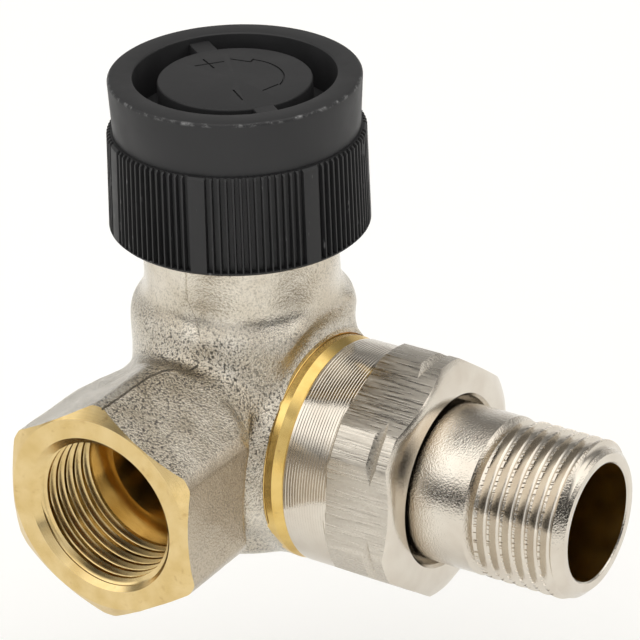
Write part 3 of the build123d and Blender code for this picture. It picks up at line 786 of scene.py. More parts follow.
@dataclass(frozen=True)
class DrawnNickel(Finish):
    """Nickel plating on the drawn flats of the nut, streaked along the bar."""

    name: str = "nickel_drawn"
    main: Colour = (0.61, 0.57, 0.50, 1.0)
    other: Colour = (0.56, 0.51, 0.44, 1.0)
    axis: TurnAxis = TurnAxis.OUTLET
    roughness: Span = (0.18, 0.46)
    drawing: Triple = (0.06, 1.0, 1.0)
    streaks: float = 3.0
    streak_depth: float = 0.10
    mottle: float = 4.0
    mottle_depth: float = 0.022

    def look(self, bench: NodeBench, spot: Socket) -> Look:
        """Lay out the streaks over a fine mottle.

        Args:
            bench: The material's nodes.
            spot: A point's place in millimetres.

        Returns:
            Colour, roughness and normal.
        """
        lines = bench.noise(bench.stretch(spot, self.drawing), self.streaks, 3.0, 0.6)
        mottle = bench.noise(spot, self.mottle, 3.0, 0.6)
        colour = bench.tint(bench.level(mottle, *CLOUDY), self.main, self.other)
        rough = bench.level(lines, 0.35, 0.65, *self.roughness)
        relief = bench.bump(lines, 0.8, self.streak_depth)
        return colour, rough, bench.bump(mottle, 0.6, self.mottle_depth, relief)


@dataclass(frozen=True)
class TurnedNickel(Finish):
    """Nickel plating on turned brass, with a fine grain."""

    name: str = "nickel_turned"
    main: Colour = (0.69, 0.64, 0.56, 1.0)
    other: Colour = (0.63, 0.57, 0.49, 1.0)
    axis: TurnAxis = TurnAxis.OUTLET
    roughness: Span = (0.12, 0.20)
    clouds: float = 0.3
    grain: float = 4.5
    grain_depth: float = 0.012
    turning: Triple = (1.0, 0.02, 0.02)
    rings: float = 4.0
    ring_depth: float = 0.012

    def look(self, bench: NodeBench, spot: Socket) -> Look:
        """Lay out the rings of the lathe under the grain.

        Args:
            bench: The material's nodes.
            spot: A point's place in millimetres.

        Returns:
            Colour, roughness and normal.
        """
        clouds = bench.noise(spot, self.clouds)
        grain = bench.noise(spot, self.grain, 2.0, 0.6)
        rings = bench.noise(bench.stretch(spot, self.turning), self.rings)
        colour = bench.tint(bench.level(clouds, *CLOUDY), self.main, self.other)
        rough = bench.level(grain, *MIDDLE, *self.roughness)
        relief = bench.bump(rings, 0.4, self.ring_depth)
        return colour, rough, bench.bump(grain, 0.7, self.grain_depth, relief)


@dataclass(frozen=True)
class TurnedBrass(Finish):
    """Bare brass with the marks of the lathe round one axis."""

    name: str = "brass_turned"
    main: Colour = (0.73, 0.56, 0.28, 1.0)
    other: Colour = (0.64, 0.46, 0.19, 1.0)
    axis: TurnAxis = TurnAxis.INLET
    roughness: Span = (0.16, 0.27)
    stain: Colour = (0.46, 0.27, 0.10, 1.0)
    stain_share: float = 0.45
    stains: float = 0.9
    clouds: float = 0.35
    rings: float = 5.0
    ring_depth: float = 0.012

    def look(self, bench: NodeBench, spot: Socket) -> Look:
        """Lay out the rings by radius, with clouds and a few stains.

        Args:
            bench: The material's nodes.
            spot: A point's place in millimetres.

        Returns:
            Colour, roughness and normal.
        """
        steps = bench.add("ShaderNodeCombineXYZ", {"X": bench.radius(spot, self.axis)})
        rings = bench.noise(steps.outputs["Vector"], self.rings)
        clouds = bench.noise(spot, self.clouds, 3.0)
        stains = bench.level(bench.noise(spot, self.stains), 0.66, 0.78, 0.0, self.stain_share)
        colour = bench.tint(bench.level(clouds, 0.35, 0.75), self.main, self.other)
        colour = bench.tint(stains, colour, self.stain)
        rough = bench.level(clouds, *MIDDLE, *self.roughness)
        return colour, rough, bench.bump(rings, 0.35, self.ring_depth)


@dataclass(frozen=True)
class MouldedBlack(Finish):
    """Black moulded plastic with scuffs on its rim and ribs."""

    name: str = "plastic_black"
    main: Colour = (0.016, 0.016, 0.017, 1.0)
    other: Colour = (0.023, 0.023, 0.024, 1.0)
    roughness: Span = (0.46, 0.58)
    metallic: float = 0.0
    specular: float = 0.4
    scuff: Colour = (0.22, 0.22, 0.22, 1.0)
    rim_radius: Span = (15.85, 16.1)
    rim_height: Span = (47.2, 47.5)
    rib_radius: Span = (16.45, 16.55)
    clouds: float = 0.25
    rubbing: float = 0.8
    strokes: float = 1.3
    stroking: Triple = (1.0, 1.0, 0.22)
    grain: float = 5.0
    grain_depth: float = 0.02

    def look(self, bench: NodeBench, spot: Socket) -> Look:
        """Lay out the clouds, with scuffs on the rim's edge and scratches on the ribs.

        Args:
            bench: The material's nodes.
            spot: A point's place in millimetres.

        Returns:
            Colour, roughness and normal.
        """
        radius = bench.radius(spot, self.axis)
        height = bench.add("ShaderNodeSeparateXYZ", {0: spot}).outputs["Z"]
        clouds = bench.noise(spot, self.clouds, 3.0)
        rim, top = bench.level(radius, *self.rim_radius), bench.level(height, *self.rim_height)
        rubbed = bench.level(bench.noise(spot, self.rubbing, 4.0, 0.7), 0.5, 0.68)
        edge = bench.maths("MULTIPLY", bench.maths("MULTIPLY", rim, top), rubbed)
        strokes = bench.noise(bench.stretch(spot, self.stroking), self.strokes, 3.0, 0.6)
        scratches = bench.level(strokes, 0.66, 0.74, 0.0, 0.7)
        ribs = bench.maths("MULTIPLY", bench.level(radius, *self.rib_radius), scratches)
        colour = bench.tint(clouds, self.main, self.other)
        colour = bench.tint(bench.maths("MAXIMUM", edge, ribs), colour, self.scuff)
        rough = bench.level(clouds, *MIDDLE, *self.roughness)
        return colour, rough, bench.bump(bench.noise(spot, self.grain), 0.35, self.grain_depth)


@dataclass(frozen=True)
class GroundMetal(Finish):
    """Ground or drawn steel of the hidden cartridge."""

    roughness: Span = (0.22, 0.34)
    clouds: float = 0.5
    lines: float = 5.0
    grinding: Triple = (0.1, 0.1, 1.0)
    line_depth: float = 0.01

    def look(self, bench: NodeBench, spot: Socket) -> Look:
        """Lay out fine lines round the axis.

        Args:
            bench: The material's nodes.
            spot: A point's place in millimetres.

        Returns:
            Colour, roughness and normal.
        """
        lines = bench.noise(bench.stretch(spot, self.grinding), self.lines)
        colour = bench.tint(bench.noise(spot, self.clouds), self.main, self.other)
        rough = bench.level(lines, *MIDDLE, *self.roughness)
        return colour, rough, bench.bump(lines, 0.3, self.line_depth)


@dataclass(frozen=True)
class MouldedSoft(Finish):
    """Seal rubber or sliding plastic of the hidden cartridge."""

    roughness: Span = (0.5, 0.7)
    metallic: float = 0.0
    clouds: float = 0.8
    grain: float = 7.0
    grain_depth: float = 0.01

    def look(self, bench: NodeBench, spot: Socket) -> Look:
        """Lay out faint clouds and a fine grain.

        Args:
            bench: The material's nodes.
            spot: A point's place in millimetres.

        Returns:
            Colour, roughness and normal.
        """
        clouds = bench.noise(spot, self.clouds)
        colour = bench.tint(clouds, self.main, self.other)
        rough = bench.level(clouds, *MIDDLE, *self.roughness)
        return colour, rough, bench.bump(bench.noise(spot, self.grain), 0.3, self.grain_depth)


# Dark nickel that lines the seam's groove: painted shade.
SEAM_SHADE = BlastedNickel("nickel_seam_shade", (0.32, 0.28, 0.22, 1.0), (0.22, 0.19, 0.14, 1.0))
TUBE = TurnedNickel(
    "nickel_tube", grain=4.0, grain_depth=0.08, ring_depth=0.003, roughness=(0.07, 0.13)
)
OUTLET_BRASS = TurnedBrass(
    "brass_outlet", (0.76, 0.55, 0.20, 1.0), (0.66, 0.44, 0.13, 1.0), TurnAxis.OUTLET
)
STAINLESS = GroundMetal("stainless_ground", (0.66, 0.66, 0.67, 1.0), (0.56, 0.56, 0.57, 1.0))
SPRING = GroundMetal("spring_wire", (0.50, 0.50, 0.51, 1.0), (0.40, 0.40, 0.42, 1.0))
RUBBER = MouldedSoft("seal_rubber_black", (0.020, 0.020, 0.021, 1.0), (0.028, 0.027, 0.027, 1.0))
WHITE = MouldedSoft(
    "sliding_white", (0.84, 0.84, 0.82, 1.0), (0.78, 0.77, 0.74, 1.0), roughness=(0.35, 0.5)
)


@dataclass
class Finishes:
    """The materials of the whole valve, each made once."""

    forged: Material = field(default_factory=BlastedNickel().make)
    # Painted shade for the seam's groove.
    seam: Material = field(default_factory=SEAM_SHADE.make)
    drawn: Material = field(default_factory=DrawnNickel().make)
    turned: Material = field(default_factory=TurnedNickel().make)
    tube: Material = field(default_factory=TUBE.make)
    inlet_brass: Material = field(default_factory=TurnedBrass("brass_inlet").make)
    outlet_brass: Material = field(default_factory=OUTLET_BRASS.make)
    spindle_brass: Material = field(
        default_factory=TurnedBrass("brass_spindle", axis=TurnAxis.SPINDLE).make
    )
    black: Material = field(default_factory=MouldedBlack().make)
    stainless: Material = field(default_factory=STAINLESS.make)
    spring: Material = field(default_factory=SPRING.make)
    rubber: Material = field(default_factory=RUBBER.make)
    white: Material = field(default_factory=WHITE.make)


@dataclass
class Maker:
    """Someone who makes a piece of the valve, with the finishes at hand."""

    finishes: Finishes


@dataclass
class ForgedBody(Maker):
    """The plated forging with its machined inlet, chamber and outlet."""

    neck_r: float = 12.77
    neck_top: float = 29.0
    shoulder_foot: float = 14.6
    shoulder_r: float = 4.0
    bulge_r: float = 14.8
    bulge_bottom: float = -17.2
    bulge_round: float = 6.5
    hex_flat_r: float = 13.5
    hex_edge: float = 0.95
    hex_taper: float = 2.0
    hex_clear: float = 1.3
    hex_end: float = 16.4
    inlet_neck_r: float = 13.45
    inlet_neck_overlap: float = 4.0
    face: float = -0.6
    face_r: float = 13.3
    mouth: float = 1.15
    thread_crest_r: float = 9.6
    inlet_thread_end: float = 11.6
    tap_start: float = 0.6
    tap_rub: float = 0.03
    tap_over: float = 0.9
    relief_end: float = 13.4
    relief_r: float = 10.9
    inlet_bore_r: float = 7.8
    inlet_bore_end: float = 20.6
    duct_ramp: float = 1.9
    duct_r: float = 4.5
    well_floor: float = -5.0
    well_r: float = 5.0
    moat_floor: float = 6.5
    seat_top: float = 7.2
    seat_r: float = 6.2
    insert_r: float = 10.3
    insert_step: float = 17.0
    head_r: float = 10.95
    boss_root_r: float = 14.2
    boss_r: float = 15.0
    boss_end: float = 12.35
    boss_skin: float = 0.05
    boss_clear: float = 0.15
    boss_run: float = 0.3
    hollow_floor: float = 2.0
    hollow_bulge: Span = (11.6, 2.0)
    hollow_inlet: Span = (9.9, 1.2)
    ring_start: float = 13.45
    ring_end: float = 14.75
    ring_r: float = 14.2
    spigot_r: float = 13.22
    spigot_end: float = 23.5
    spigot_edge: float = 0.6
    die_start: float = 1.6
    outlet_bore_start: float = 8.0
    outlet_bore_r: float = 8.0
    cone_start: float = 20.8
    cone_r: float = 8.8
    port_x: float = 9.6
    port_r: float = 3.0
    port_top: float = 8.4
    port_facets: int = 48
    stock: float = 2.4
    clear_r: float = 18.0
    voxel: float = 0.42
    blend_reach: float = 4.5
    blend_rounds: int = 90
    blend_gain: float = 1.6
    crease_reach: float = 2.2
    lump_size: float = 3.0
    lump_height: float = 0.14
    lump_level: float = 0.55
    flash_r: float = 0.18
    flash_seed: int = 3
    seam_points: int = 34
    seam_step: float = 0.64
    seam_x: float = 0.9
    seam_swing: float = 2.2
    seam_bend: Span = (9.0, 9.5)
    seam_waver: float = 0.07
    ridge_points: int = 24
    ridge_step: float = 0.66
    ridge_swing: float = 15.5
    ridge_bend: Span = (21.0, 6.4)
    ridge_waver: float = 0.3
    ridge_sunk: float = 0.07

    def blank(self) -> Piece:
        """Forge the blank: bulge with neck, hexagon, inlet neck and boss, blended together.

        Returns:
            The blank, with stock left for machining.
        """
        metal = self.finishes.forged
        shoulder = (self.neck_r - self.bulge_r + self.shoulder_r) / self.shoulder_r
        shoulder_end = 90 - math.degrees(math.acos(shoulder))
        low, foot = self.bulge_bottom + self.bulge_round, self.shoulder_foot
        bulge = [
            *arc(low, self.bulge_r - self.bulge_round, self.bulge_round, 180, 90, 10),
            *arc(foot, self.bulge_r - self.shoulder_r, self.shoulder_r, 90, shoulder_end, 6),
            (self.neck_top + self.stock, self.neck_r),
        ]
        body = turned("valve_body_forged", TurnAxis.SPINDLE, bulge, metal)
        neck = [
            (self.hex_end - self.inlet_neck_overlap, self.inlet_neck_r),
            (SPINDLE_Y, self.inlet_neck_r),
        ]
        boss = [
            (0.0, self.boss_root_r),
            (self.boss_end + self.boss_run, self.boss_r + self.boss_skin),
            (self.spigot_end + self.stock, self.boss_r + self.boss_skin),
        ]
        hexagon = self.hexagon()
        inlet_neck = turned("inlet_neck", TurnAxis.INLET, neck, metal)
        combine(body, self.hollow(self.hollow_bulge), Cut.TAKE_AWAY)
        for part in (hexagon, inlet_neck):
            combine(part, self.hollow(self.hollow_inlet), Cut.TAKE_AWAY)
        body = joined([body, hexagon, inlet_neck, turned("boss", TurnAxis.OUTLET, boss, metal)])
        modify(body, "REMESH", mode="VOXEL", voxel_size=self.voxel)
        self.soften(body)
        self.roughen(body)
        self.flash(body)
        return body

    def hollow(self, depth: Span) -> Piece:
        """Make the tool for the hollow that leaves the ring of the boss clear.

        Args:
            depth: Place of the hollow's floor along the outlet, and how fast it widens.

        Returns:
            The tool.
        """
        floor, spread = depth
        edge = self.boss_r + self.hollow_floor
        rim = self.bulge_r + 1.0
        wide = edge + (rim - floor) * spread
        start = (self.boss_end + self.boss_clear, self.boss_r - 2 * self.boss_skin)
        outline = [start, (floor, edge), (rim, wide), (rim + 1.0, wide)]
        return turned("hollow", TurnAxis.OUTLET, outline, self.finishes.forged)

    def hexagon(self) -> Piece:
        """Make the hexagon end with trimmed edges and its back corners turned off.

        Returns:
            The hexagon.
        """
        metal = self.finishes.forged
        span = (self.face - self.stock, self.hex_end)
        bar = hexagon_bar("hexagon", TurnAxis.INLET, self.hex_flat_r, span, 0.0, metal)
        bevel(bar, lambda a, b: abs(a.y - b.y) > 1.0, self.hex_edge, 1)
        wide = self.hex_flat_r * self.hex_clear
        back = [
            (self.face - 2 * self.stock, wide),
            (self.hex_end - (wide - self.inlet_neck_r) * self.hex_taper, wide),
            (self.hex_end, self.inlet_neck_r),
            (self.hex_end + 1, self.inlet_neck_r - 1),
        ]
        combine(bar, turned("back", TurnAxis.INLET, back, metal), Cut.KEEP_COMMON)
        return bar

    def bulge_radius(self, height: float) -> float:
        """Give the radius of bulge, shoulder or neck at a height.

        Args:
            height: Height in millimetres.

        Returns:
            The radius there.
        """
        low = self.bulge_bottom + self.bulge_round
        if height < low:
            drop = min(self.bulge_round, low - height)
            return self.bulge_r - self.bulge_round + math.sqrt(self.bulge_round**2 - drop**2)
        if height < self.shoulder_foot:
            return self.bulge_r
        rise = min(self.shoulder_r, height - self.shoulder_foot)
        curve = self.bulge_r - self.shoulder_r + math.sqrt(self.shoulder_r**2 - rise**2)
        return max(self.neck_r, curve)

    def junction(self, point: Vector) -> float:
        """Tell how close a surface point is to a crossing of two forms.

        Args:
            point: A point of the blank.

        Returns:
            1 on a crossing, 0 beyond the reach of the blend.
        """
        gaps = [TurnAxis.SPINDLE.distance(point) - self.bulge_radius(point.z)]
        if self.hex_end - 1 < point.y < SPINDLE_Y:
            gaps.append(TurnAxis.INLET.distance(point) - self.inlet_neck_r)
        if point.x > 0.0:
            draft = (self.boss_r - self.boss_root_r) * min(1.0, point.x / self.boss_end)
            gaps.append(TurnAxis.OUTLET.distance(point) - self.boss_root_r - draft)
        near = sorted(abs(gap) for gap in gaps)
        crossing = 1 - near[1] / self.blend_reach if len(near) > 1 else 0.0
        rise = math.sqrt(self.shoulder_r**2 - (self.neck_r - self.bulge_r + self.shoulder_r) ** 2)
        above = point.z - self.shoulder_foot - rise
        off = TurnAxis.SPINDLE.distance(point) - self.neck_r
        crease = 1 - math.hypot(above, off) / self.crease_reach
        return max(0.0, crossing, crease)

    def soften(self, body: Piece) -> None:
        """Round the crossings of the forms as a forging die does.

        Args:
            body: The blank.
        """
        group = body.vertex_groups.new(name="forged_blends")
        for vertex in body.data.vertices:
            share = self.junction(vertex.co)
            if share > 0.0:
                group.add([vertex.index], min(1.0, self.blend_gain * share), "REPLACE")
        for rounds, where in ((2, ""), (self.blend_rounds, group.name)):
            modify(body, "SMOOTH", factor=0.5, iterations=rounds, vertex_group=where)
        body.vertex_groups.clear()

    def roughen(self, body: Piece) -> None:
        """Give the forging its slight unevenness.

        Args:
            body: The blank.
        """
        clouds = bpy.data.textures.new("forged_lumps", "CLOUDS")
        clouds.noise_scale = self.lump_size
        modify(
            body,
            "DISPLACE",
            texture=clouds,
            texture_coords="LOCAL",
            strength=self.lump_height,
            mid_level=self.lump_level,
        )

    def flash(self, body: Piece) -> None:
        """Mark the trimmed flash of the die: a seam beside the hexagon's edge, lined with dark
        nickel as painted shade, and a bead on the neck.

        Args:
            body: The blank.
        """
        chance = random.Random(self.flash_seed)
        down = Vector((0.0, 0.0, -1.0))
        start, length = self.seam_bend
        seam = []
        for step in range(self.seam_points):
            along = self.face - self.stock + self.seam_step * step
            swing = self.seam_swing * max(0.0, (along - start) / length) ** 1.5
            across = self.seam_x + swing + chance.uniform(-self.seam_waver, self.seam_waver)
            found, spot, _, _ = body.ray_cast(Vector((across, along, FAR)), down)
            if found:
                seam.append(spot)
        # The groove's cut faces take the dark seam nickel, painted shade in the groove.
        combine(body, bead("seam", seam, self.flash_r, self.finishes.seam), Cut.TAKE_AWAY)
        top, length = self.ridge_bend
        ridge = []
        for step in range(self.ridge_points):
            height = self.shoulder_foot + self.ridge_step * step
            swing = self.ridge_swing * max(0.0, (top - height) / length)
            turn = math.radians(swing + chance.uniform(-self.ridge_waver, self.ridge_waver))
            outward = Vector((math.sin(turn), -math.cos(turn), 0.0))
            away = Vector((0.0, SPINDLE_Y, height)) + outward * FAR
            found, spot, _, _ = body.ray_cast(away, -outward)
            if found:
                ridge.append(spot - outward * self.ridge_sunk)
        combine(body, bead("ridge", ridge, self.flash_r, self.finishes.forged), Cut.ADD)

    def machine(self, body: Piece) -> None:
        """Turn and drill the inside, the ring and the spigot out of the blank.

        Args:
            body: The blank.
        """
        brass, gold = self.finishes.inlet_brass, self.finishes.outlet_brass
        near = self.face - 2 * self.stock
        far = self.spigot_end + 2 * self.stock
        room = [
            (self.boss_end, self.boss_r + self.boss_skin),
            (self.boss_end, self.boss_r + self.hollow_floor),
            (self.ring_end, self.boss_r + 3 * self.hollow_floor),
            (far, self.boss_r + 3 * self.hollow_floor),
            (far, self.boss_r + self.boss_skin),
        ]
        inlet = [
            (SPINDLE_Y, self.duct_r),
            (self.inlet_bore_end + self.duct_ramp, self.duct_r),
            (self.inlet_bore_end, self.inlet_bore_r),
            (self.relief_end, self.inlet_bore_r),
            (self.relief_end, self.relief_r),
            (self.inlet_thread_end, self.relief_r),
            (self.inlet_thread_end, self.thread_crest_r),
            (self.face + self.mouth, self.thread_crest_r),
            (self.face, self.thread_crest_r + self.mouth),
            (self.face, self.face_r),
            (self.face + (self.clear_r - self.face_r) * TAN_30, self.clear_r),
            (near, self.clear_r),
        ]
        chamber = [
            (self.well_floor, self.well_r),
            (self.seat_top, self.well_r),
            (self.seat_top, self.seat_r),
            (self.moat_floor, self.seat_r),
            (self.moat_floor, self.insert_r),
            (self.insert_step, self.insert_r),
            (self.insert_step + self.head_r - self.insert_r, self.head_r),
            (self.neck_top, self.head_r),
            (self.neck_top, self.clear_r),
            (self.neck_top + 2 * self.stock, self.clear_r),
        ]
        outlet = [
            (self.outlet_bore_start, self.outlet_bore_r),
            (self.cone_start, self.outlet_bore_r),
            (self.cone_start, self.cone_r),
            (self.spigot_end, self.cone_r + self.spigot_end - self.cone_start),
            (self.spigot_end, self.spigot_r - self.spigot_edge),
            (self.spigot_end - self.spigot_edge, self.spigot_r),
            (self.ring_end, self.spigot_r),
            (self.ring_end, self.ring_r),
            (self.ring_start, self.boss_r),
            (self.boss_end, self.boss_r),
            (self.boss_end - 0.2, self.boss_r + 0.15),
            (far, self.boss_r + 0.15),
        ]
        port = [(OUTLET_Z, self.port_r), (self.port_top, self.port_r)]
        drill = turned("port_tool", TurnAxis.SPINDLE, port, brass, self.port_facets)
        drill.location.x = self.port_x
        settle(drill)
        forged = self.finishes.forged
        for tool in (
            turned("ring_room", TurnAxis.OUTLET, room, forged, ring=True),
            turned("inlet_tool", TurnAxis.INLET, inlet, brass),
            turned("chamber_tool", TurnAxis.SPINDLE, chamber, brass),
            turned("outlet_tool", TurnAxis.OUTLET, outlet, gold),
            drill,
        ):
            combine(body, tool, Cut.TAKE_AWAY)

    def thread(self, body: Piece) -> None:
        """Tap the inlet and cut the spigot's thread.

        Args:
            body: The machined body.
        """
        brass, gold = self.finishes.inlet_brass, self.finishes.outlet_brass
        tap = tooth(INNER_TOOTH, self.face + self.tap_start, PIPE_R - self.tap_rub)
        turns = (self.inlet_thread_end + self.tap_over - self.face) / PIPE_PITCH
        combine(body, wound("tap", TurnAxis.INLET, tap, PIPE_PITCH, turns, brass), Cut.TAKE_AWAY)
        die = tooth(OUTER_TOOTH, self.ring_end + self.die_start, self.spigot_r)
        turns = (self.spigot_end - self.ring_end) / PIPE_PITCH
        combine(body, wound("die", TurnAxis.OUTLET, die, PIPE_PITCH, turns, gold), Cut.TAKE_AWAY)

    def build(self) -> None:
        """Forge, machine, thread and seat the body."""
        body = self.blank()
        self.machine(body)
        self.thread(body)
        seat(body, "valve", "valve_body")


@dataclass
class ProtectionCap(Maker):
    """The black cap: ribbed skirt, smooth ring and slotted top."""

    bore_r: float = 15.05
    skirt_bottom: float = 27.2
    skirt_top: float = 40.45
    skirt_bottom_r: float = 16.91
    skirt_top_r: float = 16.63
    foot_r: float = 15.85
    ring_r: float = 16.22
    top: float = 47.7
    web: float = 40.0
    slot_floor: float = 41.8
    slot_r: float = 13.0
    disc_r: float = 9.9
    disc_top: float = 46.95
    edge: float = 0.3
    rim_round: float = 0.45
    bridge_top: float = 46.9
    bridge_width: float = 2.8
    bridge_turn: float = 144.7
    bridge_root: float = 0.5
    bridge_edge: float = 0.2
    pocket_r: float = 7.4
    pocket_top: float = 42.48
    facets: int = 224
    groups: int = 7
    grooves: int = 14
    groove_turn: float = 3.2
    first_rib: float = 285.75
    groove_root: float = 16.12
    groove_floor: float = 0.50
    groove_mouth: float = 0.68
    groove_stop: float = 0.4
    stroke: float = 0.26
    engraved: float = 0.2
    # Plus, minus and the arrow's straight lines: middle across and away, length, lean.
    strokes: tuple[tuple[float, float, float, float], ...] = (
        (-3.3, 4.8, 4.0, 18.0),
        (-3.4, 4.8, 3.4, 116.0),
        (0.4, -5.4, 3.6, 110.0),
        (0.65, 5.6, 2.9, -24.0),
        (2.15, 5.5, 1.1, 71.0),
        (4.5, -3.3, 2.8, 44.0),
    )
    arrow_r: float = 6.2
    arrow_start: float = -24.0
    arrow_turns: float = 0.26
    arrow_facets: int = 120
    right: Span = (0.837, 0.548)

    def shell(self) -> Piece:
        """Turn the cap without its ribs.

        Returns:
            The plain cap.
        """
        edge, rim = self.edge, self.rim_round
        outline = [
            (self.pocket_top, self.pocket_r),
            (self.web, self.pocket_r),
            (self.web, self.bore_r),
            (self.skirt_bottom + edge, self.bore_r),
            (self.skirt_bottom, self.bore_r + edge),
            (self.skirt_bottom, self.skirt_bottom_r - edge),
            (self.skirt_bottom + edge, self.skirt_bottom_r),
            (self.skirt_top - edge, self.skirt_top_r),
            (self.skirt_top, self.skirt_top_r - edge),
            (self.skirt_top, self.foot_r),
            *arc(self.top - rim, self.ring_r - rim, rim, 90, 0, 4),
            *arc(self.top - edge, self.slot_r + edge, edge, 0, -90, 3),
            (self.slot_floor, self.slot_r),
            (self.slot_floor, self.disc_r),
            *arc(self.disc_top - edge, self.disc_r - edge, edge, 90, 0, 3),
        ]
        return turned("cap_black", TurnAxis.SPINDLE, outline, self.finishes.black, self.facets)

    def groove_turns(self) -> list[float]:
        """Work out the angle of each groove between the plain ribs.

        Returns:
            Angles in degrees.
        """
        turns = []
        for group in range(self.groups):
            middle = self.first_rib + (group + 0.5) * 360 / self.groups
            start = middle - (self.grooves - 1) / 2 * self.groove_turn
            turns += [start + self.groove_turn * step for step in range(self.grooves)]
        return turns

    def groove(self) -> Piece:
        """Model one groove of the skirt, wider at its mouth.

        Returns:
            The groove as a solid, about +Z.
        """
        half = self.groove_floor / 2
        low = (self.groove_root, -half, self.skirt_bottom + self.groove_stop)
        high = (self.groove_root + 1.0, half, self.skirt_top + self.groove_stop)
        slope = (self.groove_mouth / self.groove_floor - 1) / (self.skirt_top_r - self.groove_root)
        return flared("groove", low, high, 1 + slope, self.finishes.black)

    def bridges(self) -> Piece:
        """Model the two bridges between ring and disc.

        Returns:
            Both bridges, in place.
        """
        half, root = self.bridge_width / 2, self.bridge_root
        low = (self.disc_r - root, -half, self.slot_floor - root)
        high = (self.slot_r + root, half, self.bridge_top)
        bar = block("bridge", low, high, self.finishes.black)
        under = self.bridge_top - 0.1
        bevel(
            bar,
            lambda a, b: min(a.z, b.z) > under and abs(a.y - b.y) < 0.1,
            self.bridge_edge,
            2,
        )
        turns = (self.bridge_turn, self.bridge_turn + 180.0)
        return copied_round(bar, TurnAxis.SPINDLE, turns)

    def engrave(self, cap: Piece) -> None:
        """Cut plus, minus and the turning arrow into the disc.

        Args:
            cap: The cap.
        """
        black = self.finishes.black
        half = self.stroke / 2
        low, high = self.disc_top - self.engraved, self.disc_top + 1.0
        right, ahead = self.right
        view_turn = math.degrees(math.atan2(ahead, right))
        for across, away, length, lean in self.strokes:
            tool = block("stroke", (-length / 2, -half, low), (length / 2, half, high), black)
            bevel(tool, lambda a, b: abs(a.z - b.z) > 0.1, half * 0.9, 3)
            x, y = across * right - away * ahead, across * ahead + away * right
            turn = Matrix.Rotation(math.radians(view_turn + lean), 4, "Z")
            tool.matrix_world = Matrix.Translation((x, SPINDLE_Y + y, 0.0)) @ turn
            settle(tool)
            combine(cap, tool, Cut.TAKE_AWAY)
        near, far = self.arrow_r - half, self.arrow_r + half
        section = [(low, near), (low, far), (high, far), (high, near)]
        start = view_turn + self.arrow_start
        sweep = wound(
            "arrow",
            TurnAxis.SPINDLE,
            section,
            0.0,
            self.arrow_turns,
            black,
            start,
            self.arrow_facets,
        )
        combine(cap, sweep, Cut.TAKE_AWAY)

    def build(self) -> None:
        """Model, engrave, rib and seat the cap."""
        cap = self.shell()
        combine(cap, self.bridges(), Cut.ADD)
        self.engrave(cap)
        grooves = copied_round(self.groove(), TurnAxis.SPINDLE, self.groove_turns())
        combine(cap, grooves, Cut.TAKE_AWAY)
        seat(cap, "cap", "protection_cap")


@dataclass
class UnionNut(Maker):
    """The union nut: ringed collar and hexagon with trimmed, notched corners."""

    start: float = 14.8
    hex_start: float = 21.75
    end: float = 31.4
    collar_r: float = 14.95
    flat_r: float = 15.0
    corner_r: float = 16.2
    corner_turn: float = 23.75
    notch_x: float = 28.05
    notch_half: float = 0.75
    notch_r: float = 15.45
    chamfer_x: float = 30.26
    face_r: float = 14.0
    thread_r: float = 13.27
    lead: float = 0.6
    shoulder_x: float = 27.0
    bore_r: float = 11.25
    edge: float = 0.4
    rings: int = 16
    ring_gap: float = 0.1
    ring_depth: float = 0.05
    ring_marks: Triple = (0.68, 0.82, 0.96)
    hex_facets: int = 240
    collar_facets: int = 224
    bore_facets: int = 200

    def hexagon(self) -> Piece:
        """Make the hexagon and turn its corners, notch and end.

        Returns:
            The hexagon, not yet bored.
        """
        metal = self.finishes.drawn
        span = (self.hex_start, self.end + 2)
        turn = self.corner_turn - 30.0
        bar = hexagon_bar("union_nut_plated", TurnAxis.OUTLET, self.flat_r, span, turn, metal)
        trim = [
            (self.hex_start - 1, self.corner_r - self.edge),
            (self.hex_start, self.corner_r - self.edge),
            (self.hex_start + self.edge, self.corner_r),
            (self.notch_x - self.notch_half, self.corner_r),
            (self.notch_x, self.notch_r),
            (self.notch_x + self.notch_half, self.corner_r),
            (self.end + 1, self.corner_r),
        ]
        tool = turned("trim", TurnAxis.OUTLET, trim, metal, self.hex_facets)
        combine(bar, tool, Cut.KEEP_COMMON)
        slope = (self.end - self.chamfer_x) / (self.corner_r - self.face_r)
        facing = [
            (self.end, self.face_r),
            (self.chamfer_x - slope, self.corner_r + 1),
            (self.end + 3, self.corner_r + 1),
        ]
        metal = self.finishes.turned
        tool = turned("facing", TurnAxis.OUTLET, facing, metal, self.hex_facets)
        combine(bar, tool, Cut.TAKE_AWAY)
        return bar

    def collar(self) -> Piece:
        """Turn the collar with its fine rings.

        Returns:
            The collar as a solid.
        """
        first = self.start + self.edge + self.ring_gap
        pitch = (self.hex_start - self.ring_gap - first) / self.rings
        outline = [
            (self.start, self.collar_r - self.edge),
            (self.start + self.edge, self.collar_r),
        ]
        depths = (0.0, self.ring_depth, 0.0)
        for ring in range(self.rings):
            for mark, depth in zip(self.ring_marks, depths):
                outline.append((first + (ring + mark) * pitch, self.collar_r - depth))
        outline.append((self.hex_start + 2 * self.edge, self.collar_r))
        metal = self.finishes.turned
        return turned("collar", TurnAxis.OUTLET, outline, metal, self.collar_facets)

    def build(self) -> None:
        """Model, bore and seat the nut."""
        nut = self.hexagon()
        combine(nut, self.collar(), Cut.ADD)
        bore = [
            (self.start - self.lead, self.thread_r + 2 * self.lead),
            (self.start + self.lead, self.thread_r),
            (self.shoulder_x, self.thread_r),
            (self.shoulder_x, self.bore_r),
            (self.end - self.edge, self.bore_r),
            (self.end + 1.0, self.bore_r + self.edge + 1.0),
        ]
        metal = self.finishes.turned
        tool = turned("bore", TurnAxis.OUTLET, bore, metal, self.bore_facets)
        combine(nut, tool, Cut.TAKE_AWAY)
        seat(nut, "nut", "union_nut")


